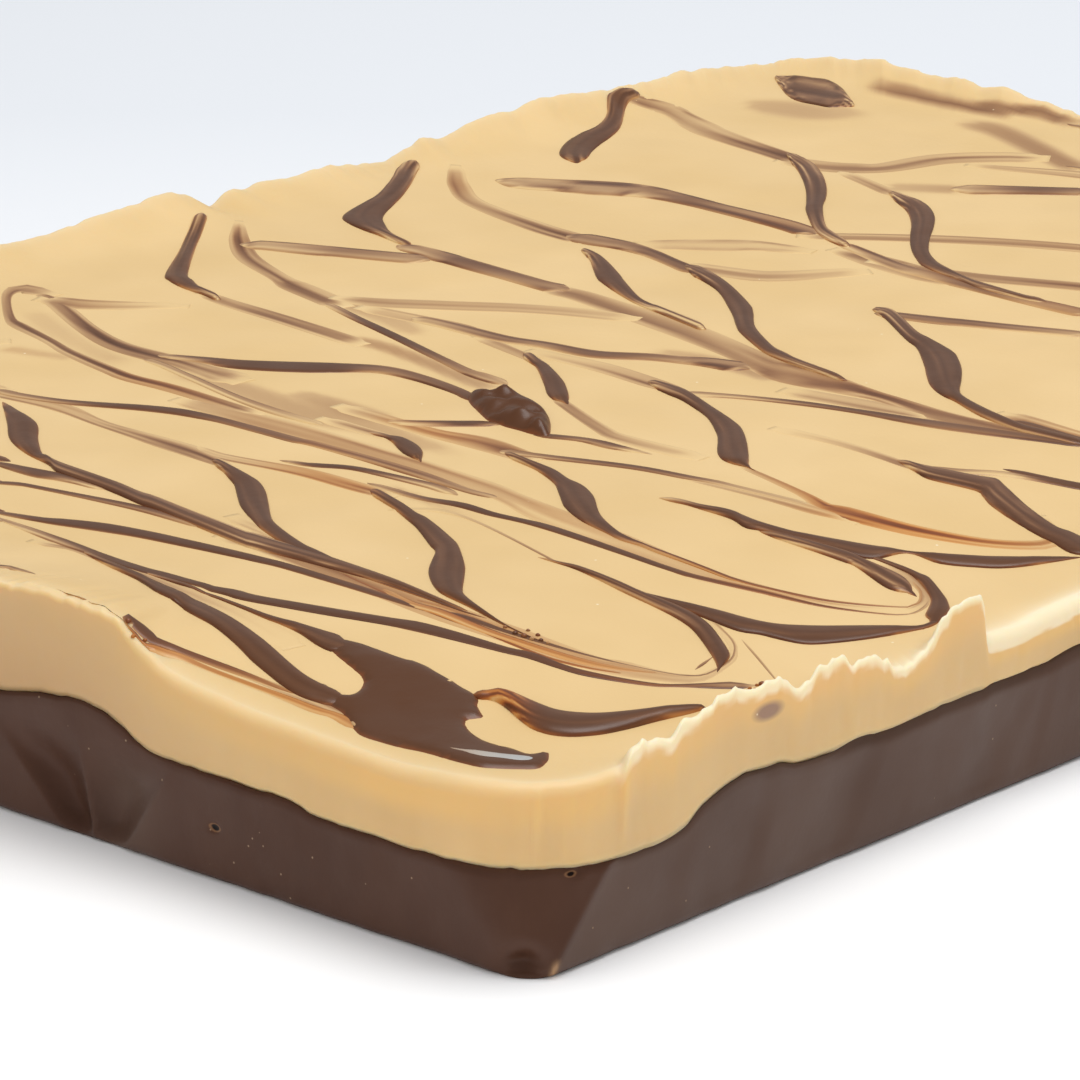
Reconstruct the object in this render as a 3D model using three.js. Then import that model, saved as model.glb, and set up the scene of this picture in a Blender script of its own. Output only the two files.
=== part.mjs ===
// A slab of two-layer fudge, as it comes out of a lined tray: a poured chocolate base, and a
// peanut fudge layer over it whose top is marbled by dragging a skewer through piped rows.
// X runs along the slab, Y across it and Z up. The origin is under the middle of the slab.
import * as THREE from 'three';

// Driving dimensions, in millimetres.
const LENGTH = 300;
const WIDTH = 212;
const SEAM_LEVEL = 14; // where the two layers meet, away from the walls
const TOP_LEVEL = 24.5; // the plateau inside the rim
const LAYER_GAP = 0.3; // keeps the faces of the two layers apart

// The plateau sinks along the front. Near the left wall it dips a little more, and stands higher
// behind the dip. Places are distances from the front wall, and reaches are from either wall.
const FRONT_DROP = 3.3;
const FRONT_REACH = 28;
const DIP_DEPTH = 1.5;
const DIP_PLACE = 28;
const DIP_LENGTH = 16;
const DIP_REACH = 25;
const RISE_HEIGHT = 1.5;
const RISE_PLACE = 50;
const RISE_LENGTH = 15;
const RISE_REACH = 20;

// Corner radii, in millimetres. The front left corner is tucked in sharply at its foot.
const CORNER = 14;
const FRONT_LEFT_FOOT = 4;
const FRONT_LEFT_MIDDLE = 9;

// The rim, as distances in from the wall: the wall, the crest, the slope behind it, the plateau.
const RIM_INSETS = [0, 2, 5, 9.5];
const RIM_ROLL = 2.2; // how much lower than the crest the rim leaves the wall
const SLOPE_SHARE = 0.3; // how much of the crest's height is left on the slope
const TOP_STEP = 5.4; // spacing of the top's grid inside the rim

// Levels of the rings on the walls, and how far in the foot and the seam lie.
const FOOT_HEIGHT = 1.2;
const FOOT_INSET = 1.3;
const BASE_MIDDLE = 6.5;
const SEAM_INSET = 12; // beyond this the seam is flat
const WALL_BULGE_LEVEL = 0.45; // share of the top layer's wall height
const WALL_TUCK_LEVEL = 0.85;
const WALL_TUCK = 0.4;

// The rim and the seam rise and fall round the slab. Each pair is a distance along the outline,
// anticlockwise from the front left corner and clockwise where it is negative, and a height.
const RIM_HEIGHTS = [
  [-212, 27.2], [-194, 28], [-174, 28.9], [-152, 27.6], [-129, 28.9], [-109, 29.3], [-96, 28.6],
  [-80, 29.5], [-66, 28.8], [-62, 26], [-58, 24], [-52, 22.9], [-44, 22], [-30, 21.2], [0, 21.6],
  [12, 21.8], [17, 24.2], [22, 23.4], [33, 26.1], [41, 25.8], [46, 23.6], [52, 25.3], [58, 24],
  [65, 21.2], [74, 25.3], [79, 26.2], [83, 20.4], [96, 21], [112, 22], [124, 24.8], [140, 21.2],
  [156, 25.4], [176, 20.9], [192, 21.6], [210, 26], [232, 21.2], [254, 25.2], [270, 21.5],
  [288, 23], [300, 24.6], [320, 26.2], [340, 25.6], [360, 27], [380, 25.4], [400, 26.8],
  [425, 25.6], [448, 24.9], [460, 26.7], [490, 28], [512, 26], [535, 27.1], [558, 27.8],
  [574, 28.6], [603, 26.6], [612, 25.3], [628, 26.2], [651, 25], [660, 28.2], [694, 26.8],
  [720, 28.4], [745, 27], [770, 28.8], [800, 27.4], [812, 27.2],
];
const SEAM_HEIGHTS = [
  [-212, 14.4], [-150, 13.6], [-110, 14.8], [-85, 15.3], [-76, 17], [-70, 17.1], [-66, 16.1],
  [-62, 14.2], [-58, 13.2], [-40, 13.1], [-34, 12.2], [-20, 11.9], [0, 11.7], [12, 11.4],
  [20, 11.1], [26, 11.8], [30, 14], [38, 15.3], [46, 14], [54, 13.9], [60, 14.3], [82, 14.3],
  [100, 15], [120, 14.4], [160, 14], [230, 15], [300, 14.3], [400, 15], [512, 14.2], [640, 14.9],
  [740, 13.9], [812, 14.4],
];

// Folds that the tray's lining pressed into the base: place along the outline, depth, half the
// width at the seam, and how far the fold leans along the outline on its way up.
const FOLDS = [
  { at: -69, depth: 1.7, halfWidth: 10, lean: 3 },
  { at: 34, depth: 0.7, halfWidth: 6, lean: 4 },
  { at: 52, depth: 0.7, halfWidth: 6, lean: 6 },
  { at: 82, depth: 0.8, halfWidth: 8, lean: 7 },
  { at: 207, depth: 1.2, halfWidth: 9, lean: -5 },
  { at: 420, depth: 1.4, halfWidth: 10, lean: 4 },
  { at: 640, depth: 1.1, halfWidth: 9, lean: -3 },
  { at: 905, depth: 1.2, halfWidth: 8, lean: 4 },
];

// The marbling: chocolate rows piped along X, then dragged by a skewer that goes to and fro
// along Y. A track has its X at the slab's front and back, and the way that it pulls.
const ROW_PITCH = 33;
const FIRST_ROW = -73;
const DRAG = 27;
const DRAG_REACH = 10;
const RIDGE_HEIGHT = 0.8;
const RIDGE_HALF_WIDTH = 2.6;
const TRACKS = [
  { front: -139, back: -115, pull: 1 }, { front: -117, back: -100, pull: -1 },
  { front: -98, back: -80, pull: 1 }, { front: -83, back: -66, pull: -1 },
  { front: -72, back: -44, pull: 1 }, { front: -55, back: -23, pull: -1 },
  { front: -36, back: 7, pull: 1 }, { front: -11, back: 22, pull: -1 },
  { front: 6, back: 56, pull: 1 }, { front: 32, back: 75, pull: -1 },
  { front: 55, back: 116, pull: 1 }, { front: 88, back: 128, pull: -1 },
];

const OUTLINE_LENGTH = 2 * (LENGTH + WIDTH);

function smooth(t) {
  const s = THREE.MathUtils.clamp(t, 0, 1);
  return s * s * (3 - 2 * s);
}

// The height at a distance along the outline, eased from pair to pair.
function heightAlong(pairs, distance) {
  const start = pairs[0][0];
  const along = start + THREE.MathUtils.euclideanModulo(distance - start, OUTLINE_LENGTH);
  const next = pairs.findIndex((pair) => pair[0] > along);
  if (next < 1) return pairs.at(-1)[1];
  const [from, low] = pairs[next - 1];
  const [to, high] = pairs[next];
  return THREE.MathUtils.lerp(low, high, smooth((along - from) / (to - from)));
}

// How far in from the nearest wall a point of the plain rectangle lies, and where along it.
function placeOnOutline(x, y) {
  const walls = [
    { inset: y + WIDTH / 2, along: x + LENGTH / 2 },
    { inset: LENGTH / 2 - x, along: LENGTH + y + WIDTH / 2 },
    { inset: WIDTH / 2 - y, along: LENGTH + WIDTH + LENGTH / 2 - x },
    { inset: x + LENGTH / 2, along: -(y + WIDTH / 2) },
  ];
  return walls.reduce((nearest, wall) => (wall.inset < nearest.inset ? wall : nearest));
}

// Rounds the corners of a rectangle: squares about a corner's centre become circles.
function roundCorner(x, y, frontLeftRadius, halfLength = LENGTH / 2, halfWidth = WIDTH / 2) {
  const radius = x < 0 && y < 0 ? frontLeftRadius : CORNER;
  const dx = Math.abs(x) - (halfLength - radius);
  const dy = Math.abs(y) - (halfWidth - radius);
  if (dx <= 0 || dy <= 0) return [x, y];
  const pull = Math.max(dx, dy) / Math.hypot(dx, dy);
  const shift = [dx * (pull - 1), dy * (pull - 1)];
  return [x + Math.sign(x) * shift[0], y + Math.sign(y) * shift[1]];
}

// Grid lines across one direction: close together at both rims, and even between them.
function gridLines(size) {
  const inner = size / 2 - RIM_INSETS.at(-1);
  const count = Math.round((2 * inner) / TOP_STEP);
  const middle = Array.from({ length: count - 1 }, (_, i) => -inner + ((i + 1) * 2 * inner) / count);
  const low = RIM_INSETS.map((inset) => -size / 2 + inset);
  return [...low, ...middle, ...low.map((line) => -line).reverse()];
}

const X_LINES = gridLines(LENGTH);
const Y_LINES = gridLines(WIDTH);

// The grid's edge, anticlockwise from the front left corner, as column and row numbers.
function edgeCells() {
  const lastX = X_LINES.length - 1;
  const lastY = Y_LINES.length - 1;
  const cells = [];
  for (let i = 0; i < lastX; i += 1) cells.push([i, 0]);
  for (let j = 0; j < lastY; j += 1) cells.push([lastX, j]);
  for (let i = lastX; i > 0; i -= 1) cells.push([i, lastY]);
  for (let j = lastY; j > 0; j -= 1) cells.push([0, j]);
  return cells;
}

const EDGE = edgeCells();

// How deep the folds in the base are at a place along the outline and a height.
function foldDepth(along, z) {
  const rise = z / SEAM_LEVEL;
  const depths = FOLDS.map((fold) => {
    let away = THREE.MathUtils.euclideanModulo(along - fold.at - fold.lean * rise, OUTLINE_LENGTH);
    away = Math.min(away, OUTLINE_LENGTH - away);
    const halfWidth = fold.halfWidth * (0.35 + 0.65 * rise);
    return fold.depth * (1 - smooth(away / halfWidth)) * (1 - 0.8 * rise);
  });
  return Math.max(0, ...depths);
}

// A ring round the slab. The height is a number or a function of the place along the outline.
function wallRing({ inset = 0, height, frontLeftRadius = CORNER, folded = false }) {
  return EDGE.map(([i, j]) => {
    const along = placeOnOutline(X_LINES[i], Y_LINES[j]).along;
    const z = typeof height === 'function' ? height(along) : height;
    const depth = inset + (folded ? foldDepth(along, z) : 0);
    const halfLength = LENGTH / 2 - depth;
    const halfWidth = WIDTH / 2 - depth;
    const x = (X_LINES[i] * halfLength * 2) / LENGTH;
    const y = (Y_LINES[j] * halfWidth * 2) / WIDTH;
    return [...roundCorner(x, y, frontLeftRadius, halfLength, halfWidth), z];
  });
}

const seamHeight = (along) => heightAlong(SEAM_HEIGHTS, along);
const rimFoot = (along) => heightAlong(RIM_HEIGHTS, along) - RIM_ROLL;

// A rounded bump, 1 at its middle.
const bump = (away, reach) => Math.exp(-((away / reach) ** 2));

// The plateau inside the rim.
function plateau(x, y) {
  const fromLeft = x + LENGTH / 2;
  const fromFront = y + WIDTH / 2;
  const sunk = FRONT_DROP * bump(fromFront, FRONT_REACH);
  const dip = DIP_DEPTH * bump(fromFront - DIP_PLACE, DIP_LENGTH) * bump(fromLeft, DIP_REACH);
  const up = smooth((fromFront - RISE_PLACE) / RISE_LENGTH) * bump(fromLeft, RISE_REACH);
  return TOP_LEVEL - sunk - dip + RISE_HEIGHT * up;
}

// How far the skewer has dragged the surface along Y at a point.
function drag(x, y) {
  const back = y / WIDTH + 0.5;
  return TRACKS.reduce((sum, track) => {
    const away = Math.abs(x - THREE.MathUtils.lerp(track.front, track.back, back));
    return sum + track.pull * DRAG * Math.exp(-away / DRAG_REACH);
  }, 0);
}

// The chocolate rows stand a little proud of the fudge along the strokes they were dragged into.
function swirlRelief(x, y) {
  const before = y - drag(x, y);
  const row = THREE.MathUtils.euclideanModulo(before - FIRST_ROW + ROW_PITCH / 2, ROW_PITCH);
  const slope = drag(x + 1, y) - drag(x - 1, y);
  const away = Math.abs(row - ROW_PITCH / 2) / Math.hypot(1, slope / 2);
  return RIDGE_HEIGHT * bump(away, RIDGE_HALF_WIDTH);
}

// The top surface: up the rolled rim to its crest, down the slope behind it, then the plateau.
function topHeight(x, y) {
  const { inset, along } = placeOnOutline(x, y);
  const crest = heightAlong(RIM_HEIGHTS, along);
  const level = plateau(x, y);
  const [, crestInset, slopeInset, plateauInset] = RIM_INSETS;
  const slope = THREE.MathUtils.lerp(level, crest, SLOPE_SHARE);
  if (inset < crestInset) return crest - RIM_ROLL * (1 - inset / crestInset);
  if (inset < slopeInset) {
    return THREE.MathUtils.lerp(crest, slope, (inset - crestInset) / (slopeInset - crestInset));
  }
  if (inset < plateauInset) {
    return THREE.MathUtils.lerp(slope, level, (inset - slopeInset) / (plateauInset - slopeInset));
  }
  return level + swirlRelief(x, y);
}

// A closed surface, gathered ring by ring. Rings run anticlockwise, seen from above.
class Shell {
  positions = [];
  triangles = [];

  point(x, y, z) {
    this.positions.push(x, y, z);
    return this.positions.length / 3 - 1;
  }

  ring(points) {
    return points.map((point) => this.point(...point));
  }

  // The wall from a lower ring to an upper one. Its squares are split along one diagonal, or
  // along the other if mirrored, so that two faces over the same rings can be made parallel.
  band(lower, upper, mirrored = false) {
    lower.forEach((corner, i) => {
      const next = (i + 1) % lower.length;
      this.triangles.push(corner, lower[next], upper[mirrored ? i : next]);
      this.triangles.push(mirrored ? lower[next] : corner, upper[next], upper[i]);
    });
  }

  // A flat face inside a ring, facing up or down.
  cap(ring, facesUp) {
    const outline = ring.map((i) => {
      return new THREE.Vector2(this.positions[3 * i], this.positions[3 * i + 1]);
    });
    THREE.ShapeUtils.triangulateShape(outline, []).forEach(([a, b, c]) => {
      this.triangles.push(ring[a], ring[facesUp ? b : c], ring[facesUp ? c : b]);
    });
  }

  // A surface over the whole grid, facing up. Returns its edge.
  sheet(heightAt) {
    const rows = Y_LINES.map((y) => X_LINES.map((x) => {
      return this.point(...roundCorner(x, y, CORNER), heightAt(x, y));
    }));
    for (let j = 0; j < rows.length - 1; j += 1) {
      for (let i = 0; i < rows[j].length - 1; i += 1) {
        this.triangles.push(rows[j][i], rows[j][i + 1], rows[j + 1][i + 1]);
        this.triangles.push(rows[j][i], rows[j + 1][i + 1], rows[j + 1][i]);
      }
    }
    return EDGE.map(([i, j]) => rows[j][i]);
  }

  mesh(name, material) {
    const geometry = new THREE.BufferGeometry();
    geometry.setAttribute('position', new THREE.Float32BufferAttribute(this.positions, 3));
    geometry.setIndex(this.triangles);
    geometry.computeVertexNormals();
    const mesh = new THREE.Mesh(geometry, material);
    mesh.name = name;
    return mesh;
  }
}

// The chocolate base: a flat foot, folded walls and the wavy seam on top.
function chocolateBase() {
  const shell = new Shell();
  const foot = shell.ring(wallRing({ inset: FOOT_INSET, height: 0, frontLeftRadius: FRONT_LEFT_FOOT }));
  const lip = shell.ring(wallRing({
    height: FOOT_HEIGHT, frontLeftRadius: FRONT_LEFT_FOOT, folded: true,
  }));
  const middle = shell.ring(wallRing({
    height: BASE_MIDDLE, frontLeftRadius: FRONT_LEFT_MIDDLE, folded: true,
  }));
  const seam = shell.ring(wallRing({ height: seamHeight }));
  const inner = shell.ring(wallRing({ inset: SEAM_INSET, height: SEAM_LEVEL }));
  shell.cap(foot, false);
  shell.band(foot, lip);
  shell.band(lip, middle);
  shell.band(middle, seam);
  shell.band(seam, inner);
  shell.cap(inner, true);
  return shell.mesh('chocolate_base', new THREE.MeshStandardMaterial({
    color: 0x4a332b, roughness: 0.5, metalness: 0,
  }));
}

// The peanut fudge: the seam below, bulging walls, the rolled rim and the marbled top.
function peanutFudge() {
  const shell = new Shell();
  const seamAt = (along) => seamHeight(along) + LAYER_GAP;
  const between = (share) => (along) => {
    return THREE.MathUtils.lerp(seamAt(along), rimFoot(along), share);
  };
  const inner = shell.ring(wallRing({ inset: SEAM_INSET, height: SEAM_LEVEL + LAYER_GAP }));
  const seam = shell.ring(wallRing({ height: seamAt }));
  const bulge = shell.ring(wallRing({ height: between(WALL_BULGE_LEVEL) }));
  const tuck = shell.ring(wallRing({ inset: WALL_TUCK, height: between(WALL_TUCK_LEVEL) }));
  const rim = shell.sheet(topHeight);
  shell.cap(inner, false);
  shell.band(inner, seam, true);
  shell.band(seam, bulge);
  shell.band(bulge, tuck);
  shell.band(tuck, rim);
  return shell.mesh('peanut_fudge', new THREE.MeshStandardMaterial({
    color: 0xdcbf8a, roughness: 0.42, metalness: 0,
  }));
}

const slab = new THREE.Group();
slab.name = 'fudge_slab';
slab.add(chocolateBase(), peanutFudge());

export default slab;
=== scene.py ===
# A slab of two-layer fudge: a dark chocolate base, a peanut fudge layer with a ragged rim, and a
# marbled chocolate top. Lengths here are millimetres, and x and y are counted from the slab's front
# left corner. The meshes are turned into metres in the frame's own place when they are made.
import math

import bpy
import numpy as np
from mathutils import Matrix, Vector, geometry


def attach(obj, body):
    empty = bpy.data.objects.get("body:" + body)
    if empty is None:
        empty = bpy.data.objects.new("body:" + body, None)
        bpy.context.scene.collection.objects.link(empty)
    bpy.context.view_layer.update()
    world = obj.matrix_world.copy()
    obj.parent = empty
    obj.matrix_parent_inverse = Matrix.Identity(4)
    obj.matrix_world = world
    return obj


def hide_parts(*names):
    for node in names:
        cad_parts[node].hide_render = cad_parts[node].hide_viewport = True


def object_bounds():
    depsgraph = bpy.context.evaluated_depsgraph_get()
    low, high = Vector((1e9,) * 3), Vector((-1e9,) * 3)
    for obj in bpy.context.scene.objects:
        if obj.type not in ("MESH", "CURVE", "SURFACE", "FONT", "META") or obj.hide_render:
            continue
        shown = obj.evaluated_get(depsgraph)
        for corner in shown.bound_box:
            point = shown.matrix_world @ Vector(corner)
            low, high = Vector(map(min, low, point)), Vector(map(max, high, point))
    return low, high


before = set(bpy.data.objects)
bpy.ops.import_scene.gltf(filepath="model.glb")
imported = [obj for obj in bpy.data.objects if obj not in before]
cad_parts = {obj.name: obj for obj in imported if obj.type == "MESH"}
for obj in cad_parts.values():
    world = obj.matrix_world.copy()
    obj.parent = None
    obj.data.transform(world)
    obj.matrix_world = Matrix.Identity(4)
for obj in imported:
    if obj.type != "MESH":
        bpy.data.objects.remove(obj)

CAD_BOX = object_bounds()
METRE = 1000.0
LENGTH = (CAD_BOX[1].x - CAD_BOX[0].x) * METRE
WIDTH = (CAD_BOX[1].y - CAD_BOX[0].y) * METRE
OUTLINE = 2 * (LENGTH + WIDTH)


# ---- Camera -------------------------------------------------------------------------------

HEADING = math.radians(41.863)


def make_camera():
    data = bpy.data.cameras.new("camera")
    data.sensor_width = 36.0
    data.lens = 184.56
    data.clip_start = 0.05
    camera = bpy.data.objects.new("camera", data)
    pitch_down = 17.283
    camera.location = (-0.57298, -0.48616, 0.22891)
    camera.rotation_euler = (math.radians(90 - pitch_down), 0, HEADING - math.pi / 2)
    bpy.context.scene.collection.objects.link(camera)
    bpy.context.scene.camera = camera
    return camera


CAMERA = make_camera()


# ---- Small maths --------------------------------------------------------------------------

def ease(t):
    t = np.clip(t, 0, 1)
    return t * t * (3 - 2 * t)


def bump(away, reach):
    return np.exp(-(np.asarray(away) / reach) ** 2)


def mix(a, b, t):
    return a + (b - a) * t


LATTICE = np.random.default_rng(11).random((128, 128)) * 2 - 1


def noise(u, v=0.0, seed=0):
    """Smooth noise between -1 and 1, with features about one unit wide."""
    u, v = np.broadcast_arrays(np.asarray(u, float) + 31.7 * seed, np.asarray(v, float) + 17.3 * seed)
    i, j = np.floor(u).astype(int), np.floor(v).astype(int)
    fu, fv = ease(u - i), ease(v - j)
    low = mix(LATTICE[i % 128, j % 128], LATTICE[(i + 1) % 128, j % 128], fu)
    high = mix(LATTICE[i % 128, (j + 1) % 128], LATTICE[(i + 1) % 128, (j + 1) % 128], fu)
    return mix(low, high, fv)


def along(pairs, s):
    """A smooth curve round the outline that goes through the pairs and never overshoots them."""
    at, height = np.array(pairs, float).T
    at = np.concatenate([at[-2:] - OUTLINE, at, at[:2] + OUTLINE])
    height = np.concatenate([height[-2:], height, height[:2]])
    step = np.diff(at)
    rise = np.diff(height) / step
    product = rise[:-1] * rise[1:]
    total = rise[:-1] + rise[1:]
    slope = np.zeros(len(at))
    same_way = product > 0
    slope[1:-1][same_way] = 2 * product[same_way] / total[same_way]
    s = (np.asarray(s, float) - pairs[0][0]) % OUTLINE + pairs[0][0]
    k = np.clip(np.searchsorted(at, s, side="right") - 1, 0, len(at) - 2)
    t = (s - at[k]) / step[k]
    return (height[k] * (1 + 2 * t) * (1 - t) ** 2 + slope[k] * step[k] * t * (1 - t) ** 2
            + height[k + 1] * t * t * (3 - 2 * t) + slope[k + 1] * step[k] * t * t * (t - 1))


# ---- The outline --------------------------------------------------------------------------
# Places along the outline are counted anticlockwise from the front left corner: the front wall,
# the right wall, the back wall, then the left wall. A place on the left wall can also be given as
# minus its distance from the front left corner.

CORNER = 14.0
FINE_STEP = 0.45
COARSE_STEP = 0.9
FINE_FROM, FINE_TO = -90.0, 105.0
COLUMNS = np.concatenate([
    np.arange(FINE_FROM, FINE_TO, FINE_STEP),
    np.arange(FINE_TO, OUTLINE + FINE_FROM - COARSE_STEP / 2, COARSE_STEP),
])


def place(s, inset, radius):
    """The point that lies an inset in from a place on the outline, round corners of a radius."""
    s = np.asarray(s, float) % OUTLINE
    x = np.select([s < LENGTH, s < LENGTH + WIDTH, s < 2 * LENGTH + WIDTH],
                  [s, LENGTH, 2 * LENGTH + WIDTH - s], 0.0)
    y = np.select([s < LENGTH, s < LENGTH + WIDTH, s < 2 * LENGTH + WIDTH],
                  [0.0, s - LENGTH, WIDTH], OUTLINE - s)
    half_x, half_y = LENGTH / 2 - inset, WIDTH / 2 - inset
    x = (x - LENGTH / 2) * half_x / (LENGTH / 2)
    y = (y - WIDTH / 2) * half_y / (WIDTH / 2)
    dx = np.abs(x) - (half_x - radius)
    dy = np.abs(y) - (half_y - radius)
    corner = (dx > 0) & (dy > 0)
    reach = np.where(corner, np.hypot(dx, dy), 1.0)
    pull = np.where(corner, np.maximum(dx, dy) / reach, 1.0) - 1
    return x + np.sign(x) * dx * pull + LENGTH / 2, y + np.sign(y) * dy * pull + WIDTH / 2


def spot(x, y):
    """The inset of a point, and the place on the outline that it lies in from."""
    x, y = np.asarray(x, float) - LENGTH / 2, np.asarray(y, float) - WIDTH / 2
    dx, dy = np.abs(x) - (LENGTH / 2 - CORNER), np.abs(y) - (WIDTH / 2 - CORNER)
    corner = (dx > 0) & (dy > 0)
    reach = np.hypot(dx, dy)
    push = np.where(corner, reach / np.maximum(np.maximum(dx, dy), 1e-9), 1.0) - 1
    x, y = x + np.sign(x) * dx * push, y + np.sign(y) * dy * push
    inset = np.minimum(LENGTH / 2 - np.abs(x), WIDTH / 2 - np.abs(y))
    wide = np.clip(x * (LENGTH / 2) / np.maximum(LENGTH / 2 - inset, 1), -LENGTH / 2, LENGTH / 2)
    deep = np.clip(y * (WIDTH / 2) / np.maximum(WIDTH / 2 - inset, 1), -WIDTH / 2, WIDTH / 2)
    front = WIDTH / 2 + y <= inset + 1e-6
    right = LENGTH / 2 - x <= inset + 1e-6
    back = WIDTH / 2 - y <= inset + 1e-6
    s = np.select([front, right, back],
                  [wide + LENGTH / 2, LENGTH + deep + WIDTH / 2, LENGTH + WIDTH + LENGTH / 2 - wide],
                  OUTLINE - deep - WIDTH / 2)
    return inset, s


# ---- Heights ------------------------------------------------------------------------------

# Where the two layers meet at the wall: a place along the outline and a height.
SEAM = [
    (-212, 14.4), (-150, 13.6), (-110, 14.8), (-85, 15.3), (-80, 16.3), (-76, 17.0), (-72, 17.2),
    (-68, 16.8), (-66, 16.1), (-64, 15.2), (-62, 14.2), (-60, 13.5), (-57, 13.2), (-50, 13.0),
    (-38, 13.0), (-36, 12.7), (-34, 12.2), (-30, 12.0), (-20, 11.9), (-10, 12.0), (0, 11.7),
    (10, 11.6), (14, 11.3), (20, 11.1), (24, 11.4), (26, 11.8), (28, 13.0), (30, 14.0),
    (34, 15.0), (38, 15.3), (42, 15.1), (44, 14.6), (46, 14.0), (52, 13.9), (58, 14.3), (64, 14.1),
    (82, 14.3), (94, 14.5), (100, 15.0), (120, 14.4), (160, 14.0), (230, 15.0), (300, 14.3),
    (400, 15.0), (512, 14.2), (640, 14.9), (740, 13.9), (812, 14.4),
]

# The rim's crest. Near the front left corner and past the front's torn edge it is a rolled
# shoulder, along part of the front a thin torn burr, and elsewhere a raised crisp edge.
CREST = [
    (-212, 27.2), (-194, 28.0), (-174, 28.9), (-152, 27.6), (-129, 28.9), (-109, 29.3), (-96, 28.6),
    (-84, 29.1), (-79, 29.5), (-71, 29.4), (-68, 29.1), (-66, 28.8), (-65, 28.4), (-64, 27.5),
    (-62, 26.2), (-60, 25.2), (-58, 24.1), (-54, 23.2), (-48, 22.5), (-44, 22.1), (-38, 21.8),
    (-32, 21.5), (-24, 21.2), (-20, 21.1), (-14, 21.5), (-8, 21.8), (0, 21.6), (10, 21.6),
    (12, 21.7), (14, 21.8), (15, 22.1), (16, 23.4), (17, 24.2), (18, 24.0), (20, 23.7), (22, 23.4),
    (24, 23.8), (26, 24.4), (28, 24.6), (30, 25.0), (32, 25.8), (34, 26.3), (36, 26.0),
    (38, 25.6), (40, 25.9), (42, 25.7), (43, 25.1), (44, 24.5), (45, 23.7), (48, 23.5),
    (49, 24.5), (50, 25.3), (52, 25.3), (54, 25.1), (56, 24.2), (58, 24.0), (60, 23.7), (62, 22.6),
    (64, 21.4), (66, 21.1), (68, 21.7), (70, 22.6), (72, 24.1), (74, 25.3), (76, 25.8),
    (78, 26.2), (80, 26.1), (80.8, 25.7), (81.8, 20.9), (84, 20.5), (88, 20.4), (92, 20.8),
    (96, 21.0), (100, 21.2), (112, 22.0), (118, 23.4), (124, 24.8), (131, 22.4), (140, 21.2),
    (149, 23.9), (156, 25.4), (166, 22.4), (176, 20.9), (192, 21.6), (200, 24.4), (210, 26.0),
    (219, 22.4), (232, 21.2), (246, 23.6), (254, 25.2), (263, 22.0), (270, 21.5), (288, 23.0),
    (300, 24.6), (320, 26.2), (340, 25.6), (360, 27.0), (380, 25.4), (400, 26.8), (425, 25.6),
    (448, 24.9), (460, 26.7), (475, 27.4), (490, 28.0), (512, 26.0), (516, 25.6), (535, 27.1),
    (558, 27.8), (574, 28.6), (603, 26.6), (612, 25.3), (628, 26.2), (646, 26.4), (651, 25.0),
    (654, 26.4), (660, 28.2), (694, 26.8), (720, 28.4), (745, 27.0), (770, 28.8), (800, 27.4),
]

# How far in the crest lies, which is also how far down the rolled edge starts below it.
ROLL = [
    (-212, 0.9), (-70, 0.6), (-65, 0.9), (-60, 1.6), (-12, 1.7), (6, 1.6), (13, 1.2), (17, 0.5),
    (80, 0.45), (82.5, 1.7), (98, 1.7), (118, 0.7), (132, 1.4), (148, 0.8), (170, 1.5),
    (200, 0.6), (225, 1.5), (250, 0.8), (280, 1.3), (300, 0.9), (500, 0.8), (600, 1.0), (800, 0.9),
]

# How far behind the crest its height dies away.
REACH = [
    (-212, 7.0), (-100, 10.0), (-66, 12.0), (-63, 7.0), (-60, 5.0), (-50, 6.0), (-10, 9.0), (9, 6.0),
    (16, 1.6), (80, 1.7), (84, 2.4), (104, 3.0), (300, 4.0), (512, 6.0), (812, 7.0),
]


# Where the front's rim is torn.
TORN = (12, 110)


def plateau(x, y):
    """The top inside the rim sinks along the front and, near the left wall, dips and rises again."""
    front_drop, front_reach = 3.3, 28.0
    dip, dip_place, dip_length, dip_reach = 1.5, 28.0, 16.0, 25.0
    rise, rise_place, rise_length, rise_reach = 1.5, 50.0, 15.0, 20.0
    level = 24.5 - front_drop * bump(y, front_reach)
    level = level - dip * bump(y - dip_place, dip_length) * bump(x, dip_reach)
    level = level + rise * ease((y - rise_place) / rise_length) * bump(x, rise_reach)
    return level + 0.12 * noise(x / 17, y / 23, 1) + 0.05 * noise(x / 6, y / 8, 2)


def crest_at(s):
    """The crest's height, with the fine tears that the thin stretches have."""
    thin = ease((1.3 - along(ROLL, s)) / 0.7)
    torn = ease((s - TORN[0]) / 6) * (1 - ease((s - TORN[1]) / 6))
    tears = (0.22 + 0.3 * torn) * noise(s / 1.7, 0, 3) + (0.16 + 0.16 * torn) * noise(s / 0.8, 0, 4)
    round_the_back = ease((s % OUTLINE - 112) / 20) * ease((OUTLINE - 92 - s % OUTLINE) / 10)
    bumps = 0.5 * noise(s / 4.5, 0, 17) + 0.3 * noise(s / 2.1, 0, 18)
    return along(CREST, s) + thin * tears + round_the_back * bumps + 0.08 * noise(s / 5, 0, 5)


def top(x, y):
    """The height of the top surface, from the rim's crest inwards."""
    inset, s = spot(x, y)
    behind = np.maximum(inset - along(ROLL, s), 0) / along(REACH, s)
    level = plateau(x, y)
    near = behind < 4
    raised = np.where(near, crest_at(s) - level, 0)
    return level + raised * np.exp(-behind ** 1.5)


# ---- Meshes -------------------------------------------------------------------------------

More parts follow.
